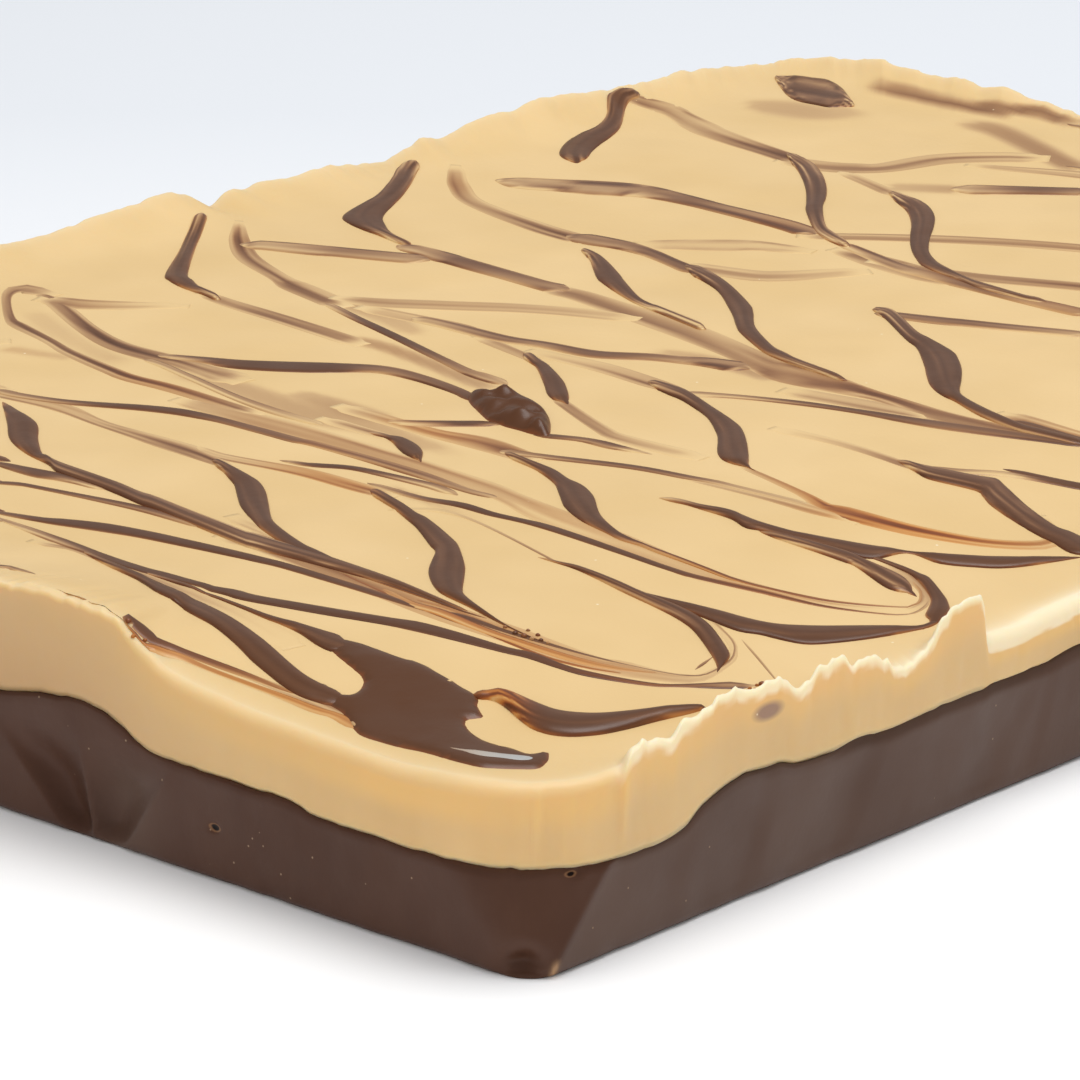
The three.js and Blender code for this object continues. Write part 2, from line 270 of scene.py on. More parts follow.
class Shell:
    """A surface gathered point by point, with a few values of its own at each point."""

    def __init__(self, *values):
        self.names = values
        self.points = []
        self.values = []
        self.faces = []
        self.count = 0

    def add(self, x, y, z, **values):
        """Adds points and returns their numbers. A value that isn't given is 0."""
        x, y, z = (np.ravel(a) for a in np.broadcast_arrays(x, y, z))
        self.points.append(np.stack([x, y, z], 1))
        given = [np.broadcast_to(values.get(name, 0.0), x.shape) for name in self.names]
        self.values.append(np.stack(given, 1) if given else np.zeros((len(x), 0)))
        self.count += len(x)
        return np.arange(self.count - len(x), self.count)

    def band(self, low, high):
        """Joins two closed rings of the same count."""
        after_low, after_high = np.roll(low, -1), np.roll(high, -1)
        self.faces += np.stack([low, after_low, after_high, high], 1).tolist()

    def strip(self, low, high):
        """Joins two open rows of the same count."""
        self.faces += np.stack([low[:-1], low[1:], high[1:], high[:-1]], 1).tolist()

    def fill(self, ring, inner, up=True):
        """Fills a ring with triangles that also use the inner points."""
        points = np.concatenate(self.points)[:, :2]
        used = np.concatenate([ring, inner]).astype(int)
        flat = [Vector(point) for point in points[used].tolist()]
        edges = [(i, (i + 1) % len(ring)) for i in range(len(ring))]
        result = geometry.delaunay_2d_cdt(flat, edges, [], 0, 1e-5)
        origin = [sources[0] for sources in result[3]]
        corners = np.array([[used[origin[i]] for i in face] for face in result[2]])
        middle = points[corners].mean(1)
        corners = corners[inside(middle[:, 0], middle[:, 1], points[ring.astype(int)])]
        a, b, c = (points[corners[:, k]] for k in range(3))
        turn = (b[:, 0] - a[:, 0]) * (c[:, 1] - a[:, 1]) - (b[:, 1] - a[:, 1]) * (c[:, 0] - a[:, 0])
        wrong = (turn < 0) == up
        corners[wrong] = corners[wrong][:, ::-1]
        return corners

    def object(self, name, material, sharp=None):
        points = np.concatenate(self.points) - (LENGTH / 2, WIDTH / 2, 0)
        mesh = bpy.data.meshes.new(name)
        mesh.from_pydata((points / METRE).tolist(), [], self.faces)
        mesh.polygons.foreach_set("use_smooth", np.ones(len(mesh.polygons), bool))
        values = np.concatenate(self.values)
        for k, value in enumerate(self.names):
            layer = mesh.attributes.new(value, "FLOAT", "POINT")
            layer.data.foreach_set("value", values[:, k].astype(np.float32))
        if sharp:
            mesh.set_sharp_from_angle(angle=math.radians(sharp))
        mesh.materials.append(material)
        mesh.update()
        piece = bpy.data.objects.new(name, mesh)
        bpy.context.scene.collection.objects.link(piece)
        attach(piece, "root")
        return piece


def inside(x, y, outline):
    """Whether points lie inside a closed outline."""
    result = np.zeros(np.shape(x), bool)
    for (x0, y0), (x1, y1) in zip(outline, np.roll(outline, -1, 0)):
        crosses = (y0 > y) != (y1 > y)
        with np.errstate(divide="ignore", invalid="ignore"):
            result ^= crosses & (x < (x1 - x0) * (y - y0) / (y1 - y0) + x0)
    return result


def distance_to(x, y, outline):
    """How far points lie from a closed outline."""
    best = np.full(np.shape(x), 1e9)
    for a, b in zip(outline, np.roll(outline, -1, 0)):
        edge = b - a
        t = np.clip(((x - a[0]) * edge[0] + (y - a[1]) * edge[1]) / max(edge @ edge, 1e-9), 0, 1)
        best = np.minimum(best, np.hypot(x - a[0] - t * edge[0], y - a[1] - t * edge[1]))
    return best


def smooth_path(points, step, closed=False):
    """A curve through the points, with an even step. Each row holds the point's values."""
    points = np.array(points, float)
    if closed:
        rows = np.concatenate([points[-1:], points, points[:2]])
    else:
        rows = np.concatenate([2 * points[:1] - points[1:2], points, 2 * points[-1:] - points[-2:-1]])
    dense = []
    for a, b, c, d in zip(rows[:-3], rows[1:-2], rows[2:-1], rows[3:]):
        t = np.linspace(0, 1, 24, endpoint=False)[:, None]
        dense.append(0.5 * (2 * b + (c - a) * t + (2 * a - 5 * b + 4 * c - d) * t ** 2
                            + (3 * b - a - 3 * c + d) * t ** 3))
    dense = np.concatenate(dense + [rows[-2:-1]])
    length = np.concatenate([[0], np.cumsum(np.hypot(*np.diff(dense[:, :2], axis=0).T))])
    count = max(int(round(length[-1] / step)), 3)
    stops = np.linspace(0, length[-1], count + 1)
    path = np.stack([np.interp(stops, length, column) for column in dense.T], 1)
    return path[:-1] if closed else path


# ---- Materials ----------------------------------------------------------------------------

def linear(red, green, blue):
    """A screen colour as the renderer's own numbers."""
    return tuple((c / 12.92 if c <= 0.04045 else ((c + 0.055) / 1.055) ** 2.4)
                 for c in (red / 255, green / 255, blue / 255)) + (1.0,)


class Material:
    """A node material round one Principled shader."""

    def __init__(self, name):
        self.material = bpy.data.materials.new(name)
        self.material.use_nodes = True
        self.nodes = self.material.node_tree.nodes
        self.shader = self.nodes["Principled BSDF"]
        self.place = self.node("ShaderNodeTexCoord").outputs["Object"]

    def node(self, kind, **settings):
        node = self.nodes.new(kind)
        for name, value in settings.items():
            setattr(node, name, value)
        return node

    def link(self, source, target):
        if isinstance(source, bpy.types.NodeSocket):
            self.material.node_tree.links.new(source, target)
        else:
            target.default_value = source

    def attribute(self, name):
        return self.node("ShaderNodeAttribute", attribute_name=name).outputs["Fac"]

    def math(self, operation, a, b=0.0):
        node = self.node("ShaderNodeMath", operation=operation, use_clamp=False)
        self.link(a, node.inputs[0])
        self.link(b, node.inputs[1])
        return node.outputs[0]

    def mix(self, factor, a, b):
        node = self.node("ShaderNodeMix", data_type="RGBA")
        self.link(factor, node.inputs["Factor"])
        self.link(a, node.inputs["A"])
        self.link(b, node.inputs["B"])
        return node.outputs["Result"]

    def stretched(self, x, y, z):
        node = self.node("ShaderNodeMapping")
        self.link(self.place, node.inputs["Vector"])
        node.inputs["Scale"].default_value = (x, y, z)
        return node.outputs["Vector"]

    def noise(self, per_metre, detail=3.0, vector=None):
        node = self.node("ShaderNodeTexNoise")
        self.link(vector or self.place, node.inputs["Vector"])
        node.inputs["Scale"].default_value = per_metre
        node.inputs["Detail"].default_value = detail
        return node.outputs["Fac"]

    def between(self, value, low, high, out_low=0.0, out_high=1.0):
        node = self.node("ShaderNodeMapRange")
        self.link(value, node.inputs["Value"])
        for name, number in (("From Min", low), ("From Max", high), ("To Min", out_low), ("To Max", out_high)):
            node.inputs[name].default_value = number
        return node.outputs["Result"]

    def specks(self, per_metre, size, share):
        """Small round dots: 1 inside a dot and 0 outside, on a share of the cells."""
        node = self.node("ShaderNodeTexVoronoi")
        self.link(self.place, node.inputs["Vector"])
        node.inputs["Scale"].default_value = per_metre
        dot = self.between(node.outputs["Distance"], size, size * 0.6)
        chosen = self.node("ShaderNodeSeparateColor")
        self.link(node.outputs["Color"], chosen.inputs["Color"])
        return self.math("MULTIPLY", dot, self.math("LESS_THAN", chosen.outputs["Red"], share))

    def near(self, at, radii, soft):
        """1 near a place of the slab, in millimetres, and 0 outside an ellipsoid with soft edges."""
        middle = [(a - b) / METRE for a, b in zip(at, (LENGTH / 2, WIDTH / 2, 0))]
        away = self.node("ShaderNodeVectorMath", operation="SUBTRACT")
        self.link(self.place, away.inputs[0])
        away.inputs[1].default_value = middle
        scaled = self.node("ShaderNodeVectorMath", operation="MULTIPLY")
        self.link(away.outputs[0], scaled.inputs[0])
        scaled.inputs[1].default_value = [METRE / radius for radius in radii]
        length = self.node("ShaderNodeVectorMath", operation="LENGTH")
        self.link(scaled.outputs[0], length.inputs[0])
        return self.between(length.outputs["Value"], 1.0, soft)

    def ramp(self, value, stops):
        node = self.node("ShaderNodeValToRGB")
        self.link(value, node.inputs["Fac"])
        elements = node.color_ramp.elements
        for _ in stops[2:]:
            elements.new(0.5)
        for element, (position, colour) in zip(elements, stops):
            element.position = position
            element.color = colour
        return node.outputs["Color"]

    def bumps(self, height, distance, strength=1.0):
        node = self.node("ShaderNodeBump")
        self.link(height, node.inputs["Height"])
        node.inputs["Distance"].default_value = distance
        node.inputs["Strength"].default_value = strength
        self.link(node.outputs["Normal"], self.shader.inputs["Normal"])

    def set(self, **inputs):
        for name, value in inputs.items():
            self.link(value, self.shader.inputs[name.replace("_", " ")])


CREAM = linear(219, 186, 130)


def chocolate_over(m, colour):
    """Lays chocolate over a colour. cocoa is how much there is, and amber how orange it looks."""
    cocoa = m.attribute("cocoa")
    brown = m.ramp(cocoa, [
        (0.0, CREAM), (0.22, linear(200, 164, 116)), (0.42, linear(170, 130, 90)),
        (0.62, linear(136, 96, 66)), (0.82, linear(107, 71, 48)), (1.0, linear(93, 60, 40)),
    ])
    orange = m.ramp(cocoa, [
        (0.0, CREAM), (0.35, linear(204, 146, 80)), (0.6, linear(182, 112, 48)),
        (0.8, linear(140, 74, 34)), (1.0, linear(100, 54, 29)),
    ])
    return m.mix(m.between(cocoa, 0.0, 0.2), colour, m.mix(m.attribute("amber"), brown, orange))


# A purple grey patch just under the torn rim: x, y and z in millimetres.
PURPLE_GREY_PATCH = (40.0, 0.0, 22.3)


def fudge_material():
    """Peanut fudge with chocolate streaked through it. Three values follow the layer from its foot to
    its rim: how much is wall; a painted glow, golden colour below the rim in place of light shining
    through the fudge; and a paler foot with a painted highlight of pale cream over the crest,
    strongest on the torn burrs. soft is how much light goes through it."""
    m = Material("peanut_fudge_marbled")
    patches = m.between(m.noise(38, 2), 0.35, 0.65)
    cream = m.mix(patches, CREAM, linear(224, 192, 138))
    wall = m.mix(m.between(m.noise(60, 3, m.stretched(1, 1, 0.25)), 0.35, 0.65),
                 linear(207, 170, 116), linear(217, 182, 128))
    colour = m.mix(m.attribute("wall"), cream, wall)
    # Painted glow: golden colour below the rim, in place of light shining through the fudge.
    colour = m.mix(m.attribute("glow"), colour, linear(229, 186, 116))
    # A paler foot, and a painted highlight of pale cream along the crest, its torn burrs and just behind it.
    colour = m.mix(m.attribute("pale"), colour, linear(237, 222, 188))
    colour = m.mix(m.near(PURPLE_GREY_PATCH, (3.2, 3.0, 1.3), 0.5), colour, linear(158, 126, 104))
    colour = chocolate_over(m, colour)
    colour = m.mix(m.specks(330, 0.07, 0.05), colour, linear(238, 222, 190))
    m.set(Base_Color=colour, Roughness=m.between(m.noise(90), 0.3, 0.7, 0.42, 0.54),
          Specular_IOR_Level=0.3, Subsurface_Weight=m.attribute("soft"), Subsurface_Scale=0.003)
    m.shader.inputs["Subsurface Radius"].default_value = (1.0, 0.68, 0.38)
    m.bumps(m.noise(700, 3), 0.00008, 0.5)
    return m.material


def swirl_material():
    """Chocolate that lies on the fudge in strokes, with a soft gloss, and in some strips a painted sheen: pale grey
    painted into the colour in place of a reflection.
    """
    m = Material("chocolate_swirl")
    # Painted sheen: the strips that carry it are mixed towards pale grey, a reflection painted as colour.
    colour = m.mix(m.attribute("sheen"), chocolate_over(m, CREAM), linear(172, 172, 170))
    m.set(Base_Color=colour, Roughness=m.between(m.noise(150), 0.3, 0.7, 0.3, 0.4),
          Specular_IOR_Level=0.4)
    m.bumps(m.noise(500, 2), 0.00006, 0.5)
    return m.material


# Pinholes in the base's walls: x, y and z in millimetres, and half their size each way.
PITS = (((8.0, 0.0, 11.0), (0.75, 3.0, 0.3)), ((0.0, 49.5, 6.8), (3.0, 0.8, 0.42)))


def base_material():
    """Set chocolate with a faint bloom, a soft sheen and pale specks, and a painted grey sheen on the front wall and
    by the left wall's fold.
    """
    m = Material("chocolate_base")
    bloom = m.between(m.noise(55, 4, m.stretched(1, 1, 0.45)), 0.35, 0.68)
    colour = m.mix(bloom, linear(71, 44, 31), linear(82, 54, 40))
    # Painted sheen: the colour turns greyer where light catches the front wall and a facet by the fold.
    colour = m.mix(m.attribute("haze"), colour, linear(97, 77, 66))
    colour = m.mix(m.attribute("scuff"), colour, linear(172, 134, 96))
    colour = m.mix(m.specks(500, 0.08, 0.1), colour, linear(142, 116, 92))
    # Painted shade: each pinhole's inside is painted near black, in a paler ring, over only a shallow dent.
    for at, radii in PITS:
        colour = m.mix(m.near(at, [1.35 * radius for radius in radii], 0.8), colour, linear(122, 86, 58))
        colour = m.mix(m.near(at, radii, 0.75), colour, linear(22, 10, 7))
    m.set(Base_Color=colour, Roughness=m.between(m.noise(80), 0.3, 0.7, 0.4, 0.55),
          Specular_IOR_Level=0.25)
    m.bumps(m.noise(900, 3), 0.00005, 0.6)
    return m.material


# ---- The chocolate base -------------------------------------------------------------------

FOOT_RADIUS = 4.0
BASE_ROWS = 34


def crease(u):
    """A ridge with a sharp top at 0 that falls away on both sides and comes back at 1."""
    u = np.abs(u)
    return np.where(u < 1, np.sin(np.pi * np.clip(u, 0, 1)), 0)


def fold_depth(s, z):
    """How deep the folds of the tray's lining are pressed into the base's walls."""
    from_left = np.where(s < OUTLINE / 2, s, s - OUTLINE)
    y = -from_left - 0.2 * z
    depth = 2.4 * crease((y - 69.5) / (4.5 + 0.9 * z)) * ease(z / 2.5) * (1 - ease((z - 6) / 8))
    depth = depth + 1.9 * bump(from_left + 1.0, 3.4) * ease(z / 0.6) * np.exp(-((z - 1.6) / 1.7) ** 2)
    for foot, head, width, deep in ((34.5, 39.5, 4.5, 0.5), (51.0, 59.5, 5.0, 0.55), (80.5, 89.0, 5.5, 0.6),
                                    (89.5, 94.0, 3.0, 0.3), (70.0, 75.0, 6.0, 0.2), (21.0, 26.0, 4.0, 0.15)):
        u = (from_left - mix(foot, head, z / 14)) / width
        saw = np.where(u < 0, ease((u + 2.2) / 2.2), 1 - ease(u))
        depth = depth + deep * saw * ease(z / 2.5) * (1 - 0.6 * ease((z - 8) / 6))
    return depth


def more_folds(s, z):
    """The same kind of folds on the walls that are seen from the other sides."""
    depth = 0.0
    for foot, head, width, deep in ((121, 128, 5, 0.6), (158, 163, 7, 0.8), (206, 199, 5, 0.6), (247, 255, 6, 0.5),
                                    (282, 286, 4, 0.5), (338, 333, 6, 0.7), (371, 379, 5, 0.5), (428, 421, 7, 0.9),
                                    (470, 474, 5, 0.6), (549, 556, 6, 0.7), (604, 597, 5, 0.6), (660, 668, 8, 0.9),
                                    (716, 711, 5, 0.5), (768, 775, 6, 0.7), (846, 852, 6, 0.7), (903, 897, 7, 0.9)):
        u = (s % OUTLINE - mix(foot, head, z / 14)) / width
        saw = np.where(u < 0, ease((u + 2) / 2), 1 - ease(u))
        depth = depth + deep * saw * ease(z / 2.5) * (1 - 0.6 * ease((z - 8) / 6))
    return depth


def chocolate_base():
    shell = Shell("haze", "scuff")
    s = COLUMNS
    seam = along(SEAM, s) + 0.1 * noise(s / 1.6, 0, 6) + 0.12 * noise(s / 4, 0, 7)
    from_left = np.where(s % OUTLINE < OUTLINE / 2, s % OUTLINE, s % OUTLINE - OUTLINE)
    near = np.abs(from_left) < 40
    rings = []
    undercut = 0.45 * ease((from_left - 50) / 8) * (1 - ease((from_left - 108) / 10))
    for row in range(BASE_ROWS + 1):
        share = row / BASE_ROWS
        z = seam * share ** 1.15
        height = z / seam
        radius = np.where(near, mix(FOOT_RADIUS, CORNER, np.clip((z - 1) / (seam - 1), 0, 1)), CORNER)
        foot = 1.1 * np.exp(-z / 0.45)
        inset = foot + fold_depth(s % OUTLINE, z) + more_folds(s, z)
        inset = inset + 0.13 * noise(s / 9, z / 7, 8) + 0.08 * noise(s / 3, z / 3, 9)
        inset = inset + 0.25 * ease((share - 0.94) / 0.06) + undercut * ease((share - 0.9) / 0.08)
        crease_line = radius - 1.0
        inset = inset - 0.35 * np.exp(-np.abs(from_left - crease_line) / 1.1) * near * ease(z / 2)
        for (x, y, height_at), (wide, deep, high) in PITS:
            across = (from_left - x + y) / min(wide, deep)
            inset = inset + 0.5 * np.exp(-across ** 2 - ((z - height_at) / high) ** 2)
        # Painted sheen: the front wall, and a facet beside the left wall's fold, are painted greyer where light
        # catches them.
        haze = np.where(from_left > 0, 0.75 * ease((from_left - radius + 0.6) / 1.2), 0.0)
        haze = haze + 0.75 * bump(from_left + 64, 5.5) * (1 - ease((z - 8) / 5))
        scuff = bump(from_left - 3.4 - 0.35 * z, 0.5) * (1 - ease((z - 1.2) / 1.4)) * (z > 0.1)
        x, y = place(s, inset, radius)
        rings.append(shell.add(x, y, z, haze=haze * (0.8 + 0.2 * noise(s / 12, z / 9, 10)), scuff=scuff))
    inner = shell.add(*place(s, 12, CORNER - 11.9), 14.0)
    floor = shell.add(*place(s, 6, np.where(near, FOOT_RADIUS, CORNER - 6)), 0.0)
    for low, high in zip(rings[:-1], rings[1:]):
        shell.band(low, high)
    shell.band(rings[-1], inner)
    shell.band(floor, rings[0])
    shell.faces += shell.fill(inner, inner[:0]).tolist()
    shell.faces += shell.fill(floor, floor[:0], up=False).tolist()
    piece = shell.object("chocolate_base_walls", base_material())
    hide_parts("chocolate_base")


# ---- The peanut fudge ---------------------------------------------------------------------

WALL_ROWS = 15
ROLL_ROWS = 6
SLOPE_SHARES = (0.03, 0.06, 0.1, 0.16, 0.23, 0.33, 0.48, 0.7, 1.0)
SLOPE_END = 11.4
TOP_GRID = 1.3
UNDERSIDE_GAP = 0.3


def from_corner(s):
    """The distance along the outline from the front left corner, below 0 on the left wall."""
    s = s % OUTLINE
    return np.where(s < OUTLINE / 2, s, s - OUTLINE)


def wall_shape(s, share):
    """How far in the fudge's wall lies, from its foot at 0 to the start of the rolled edge at 1."""
    lip = 0.4 * (1 - np.clip(share / 0.06, 0, 1)) ** 2
    belly = -0.35 * np.sin(np.pi * np.clip(share, 0, 1)) ** 0.8
    front = (s % OUTLINE < LENGTH)
    striped = np.where(front, 1.9, 0.4)
    broken = ease(0.5 + noise(s / 6, share * 1.5, 16))
    stripes = broken * (0.12 * noise(s / 2.6, share * 0.9, 12) + 0.05 * noise(s / 1.1, share * 1.4, 13))
    ridge = -0.5 * bump(from_corner(s) - 15.5, 1.1) * ease(share / 0.4)
    waves = 0.2 * noise(s / 8, share * 1.2, 14) + ridge
    return lip + belly + striped * stripes * ease(share / 0.3) + waves


def peanut_fudge(material):
    shell = Shell("wall", "glow", "pale", "soft", "cocoa", "amber")
    s = COLUMNS
    seam = along(SEAM, s) + 0.1 * noise(s / 1.6, 0, 6) + 0.12 * noise(s / 4, 0, 7)
    roll = along(ROLL, s)
    crest = crest_at(s)
    crest = np.maximum(crest, seam + 2 + roll)
    foot = seam + 0.02
    shoulder = crest - roll
    torn = ease((s - TORN[0]) / 6) * (1 - ease((s - TORN[1]) / 6))
    # Painted shade: a chocolate tint darkens the left wall towards its far end, where it lies more in shade, less so
    # near the rim.
    painted_shade = 0.3 * ease((-from_corner(s) - 15) / 70)
    inner = shell.add(*place(s, 12, CORNER - 11.9), 14.0 + UNDERSIDE_GAP)
    rings = [shell.add(*place(s, 1.6, CORNER - 1.6), foot + UNDERSIDE_GAP, wall=1)]
    for row in range(WALL_ROWS + 1):
        share = (row / WALL_ROWS) ** 0.92
        inset = wall_shape(s, share)
        z = mix(foot, shoulder, share)
        # Painted glow: a golden band on the wall's upper part, in place of light through the fudge.
        glow = ease((share - 0.45) / 0.4) * (0.6 + 0.2 * noise(s / 9, 0, 15))
        edge = ease((share - 0.9 + 0.05 * noise(s / 2, 0, 19)) / 0.08)
        # A paler foot, and a painted highlight on the torn burrs' edge.
        pale = 0.25 * (1 - ease(share / 0.1)) + 0.9 * torn * edge
        x, y = place(s, inset, CORNER - inset)
        rings.append(shell.add(x, y, z, wall=1, glow=glow, pale=pale, soft=0.6, cocoa=painted_shade * (1 - 0.4 * share)))
    start = wall_shape(s, 1.0)
    for row in range(1, ROLL_ROWS + 1):
        angle = row / ROLL_ROWS * math.pi / 2
        inset = mix(start, roll, 1 - math.cos(angle))
        z = shoulder + roll * math.sin(angle)
        done = row / ROLL_ROWS
        x, y = place(s, inset, CORNER - inset)
        # Painted highlight of pale cream over the rolled edge, strongest on the torn burrs.
        pale = mix(0.9 * torn, mix(0.35, 1.0, torn), done)
        # The painted glow fades out over the rolled edge.
        rings.append(shell.add(x, y, z, wall=1 - done, glow=0.6 * (1 - done), pale=pale,
                               soft=mix(0.6, 0.4, done), cocoa=painted_shade * 0.6 * (1 - done)))
    for share in SLOPE_SHARES:
        inset = mix(roll, SLOPE_END, share)
        back = SLOPE_END * share
        x, y = place(s, inset, CORNER - np.minimum(inset, CORNER - 0.4))
        z = top(x, y)
        # Painted highlight just behind the crest.
        pale = math.exp(-back / 1.3) * mix(0.35, 1, torn)
        cocoa, amber = shade(x, y)
        rings.append(shell.add(x, y, z, pale=pale, soft=0.4 * math.exp(-back / 4), cocoa=cocoa, amber=amber))
    shell.band(inner, rings[0])
    for low, high in zip(rings[:-1], rings[1:]):
        shell.band(low, high)
    shell.faces += shell.fill(inner, inner[:0], up=False).tolist()
    outline = np.concatenate(shell.points)[rings[-1]][:, :2]
    grid_x, grid_y = np.meshgrid(np.arange(8, LENGTH - 8, TOP_GRID), np.arange(8, WIDTH - 8, TOP_GRID))
    grid_x[1::2] += TOP_GRID / 2
    x, y = grid_x.ravel(), grid_y.ravel()
    keep = inside(x, y, outline)
    x, y = x[keep], y[keep]
    inset, _ = spot(x, y)
    keep = inset > 12.2
    x, y = x[keep], y[keep]
    cocoa, amber = shade(x, y)
    middle = shell.add(x, y, top(x, y), cocoa=cocoa, amber=amber)
    shell.faces += shell.fill(rings[-1], middle).tolist()
    piece = shell.object("peanut_fudge_layer", material)
    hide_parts("peanut_fudge")
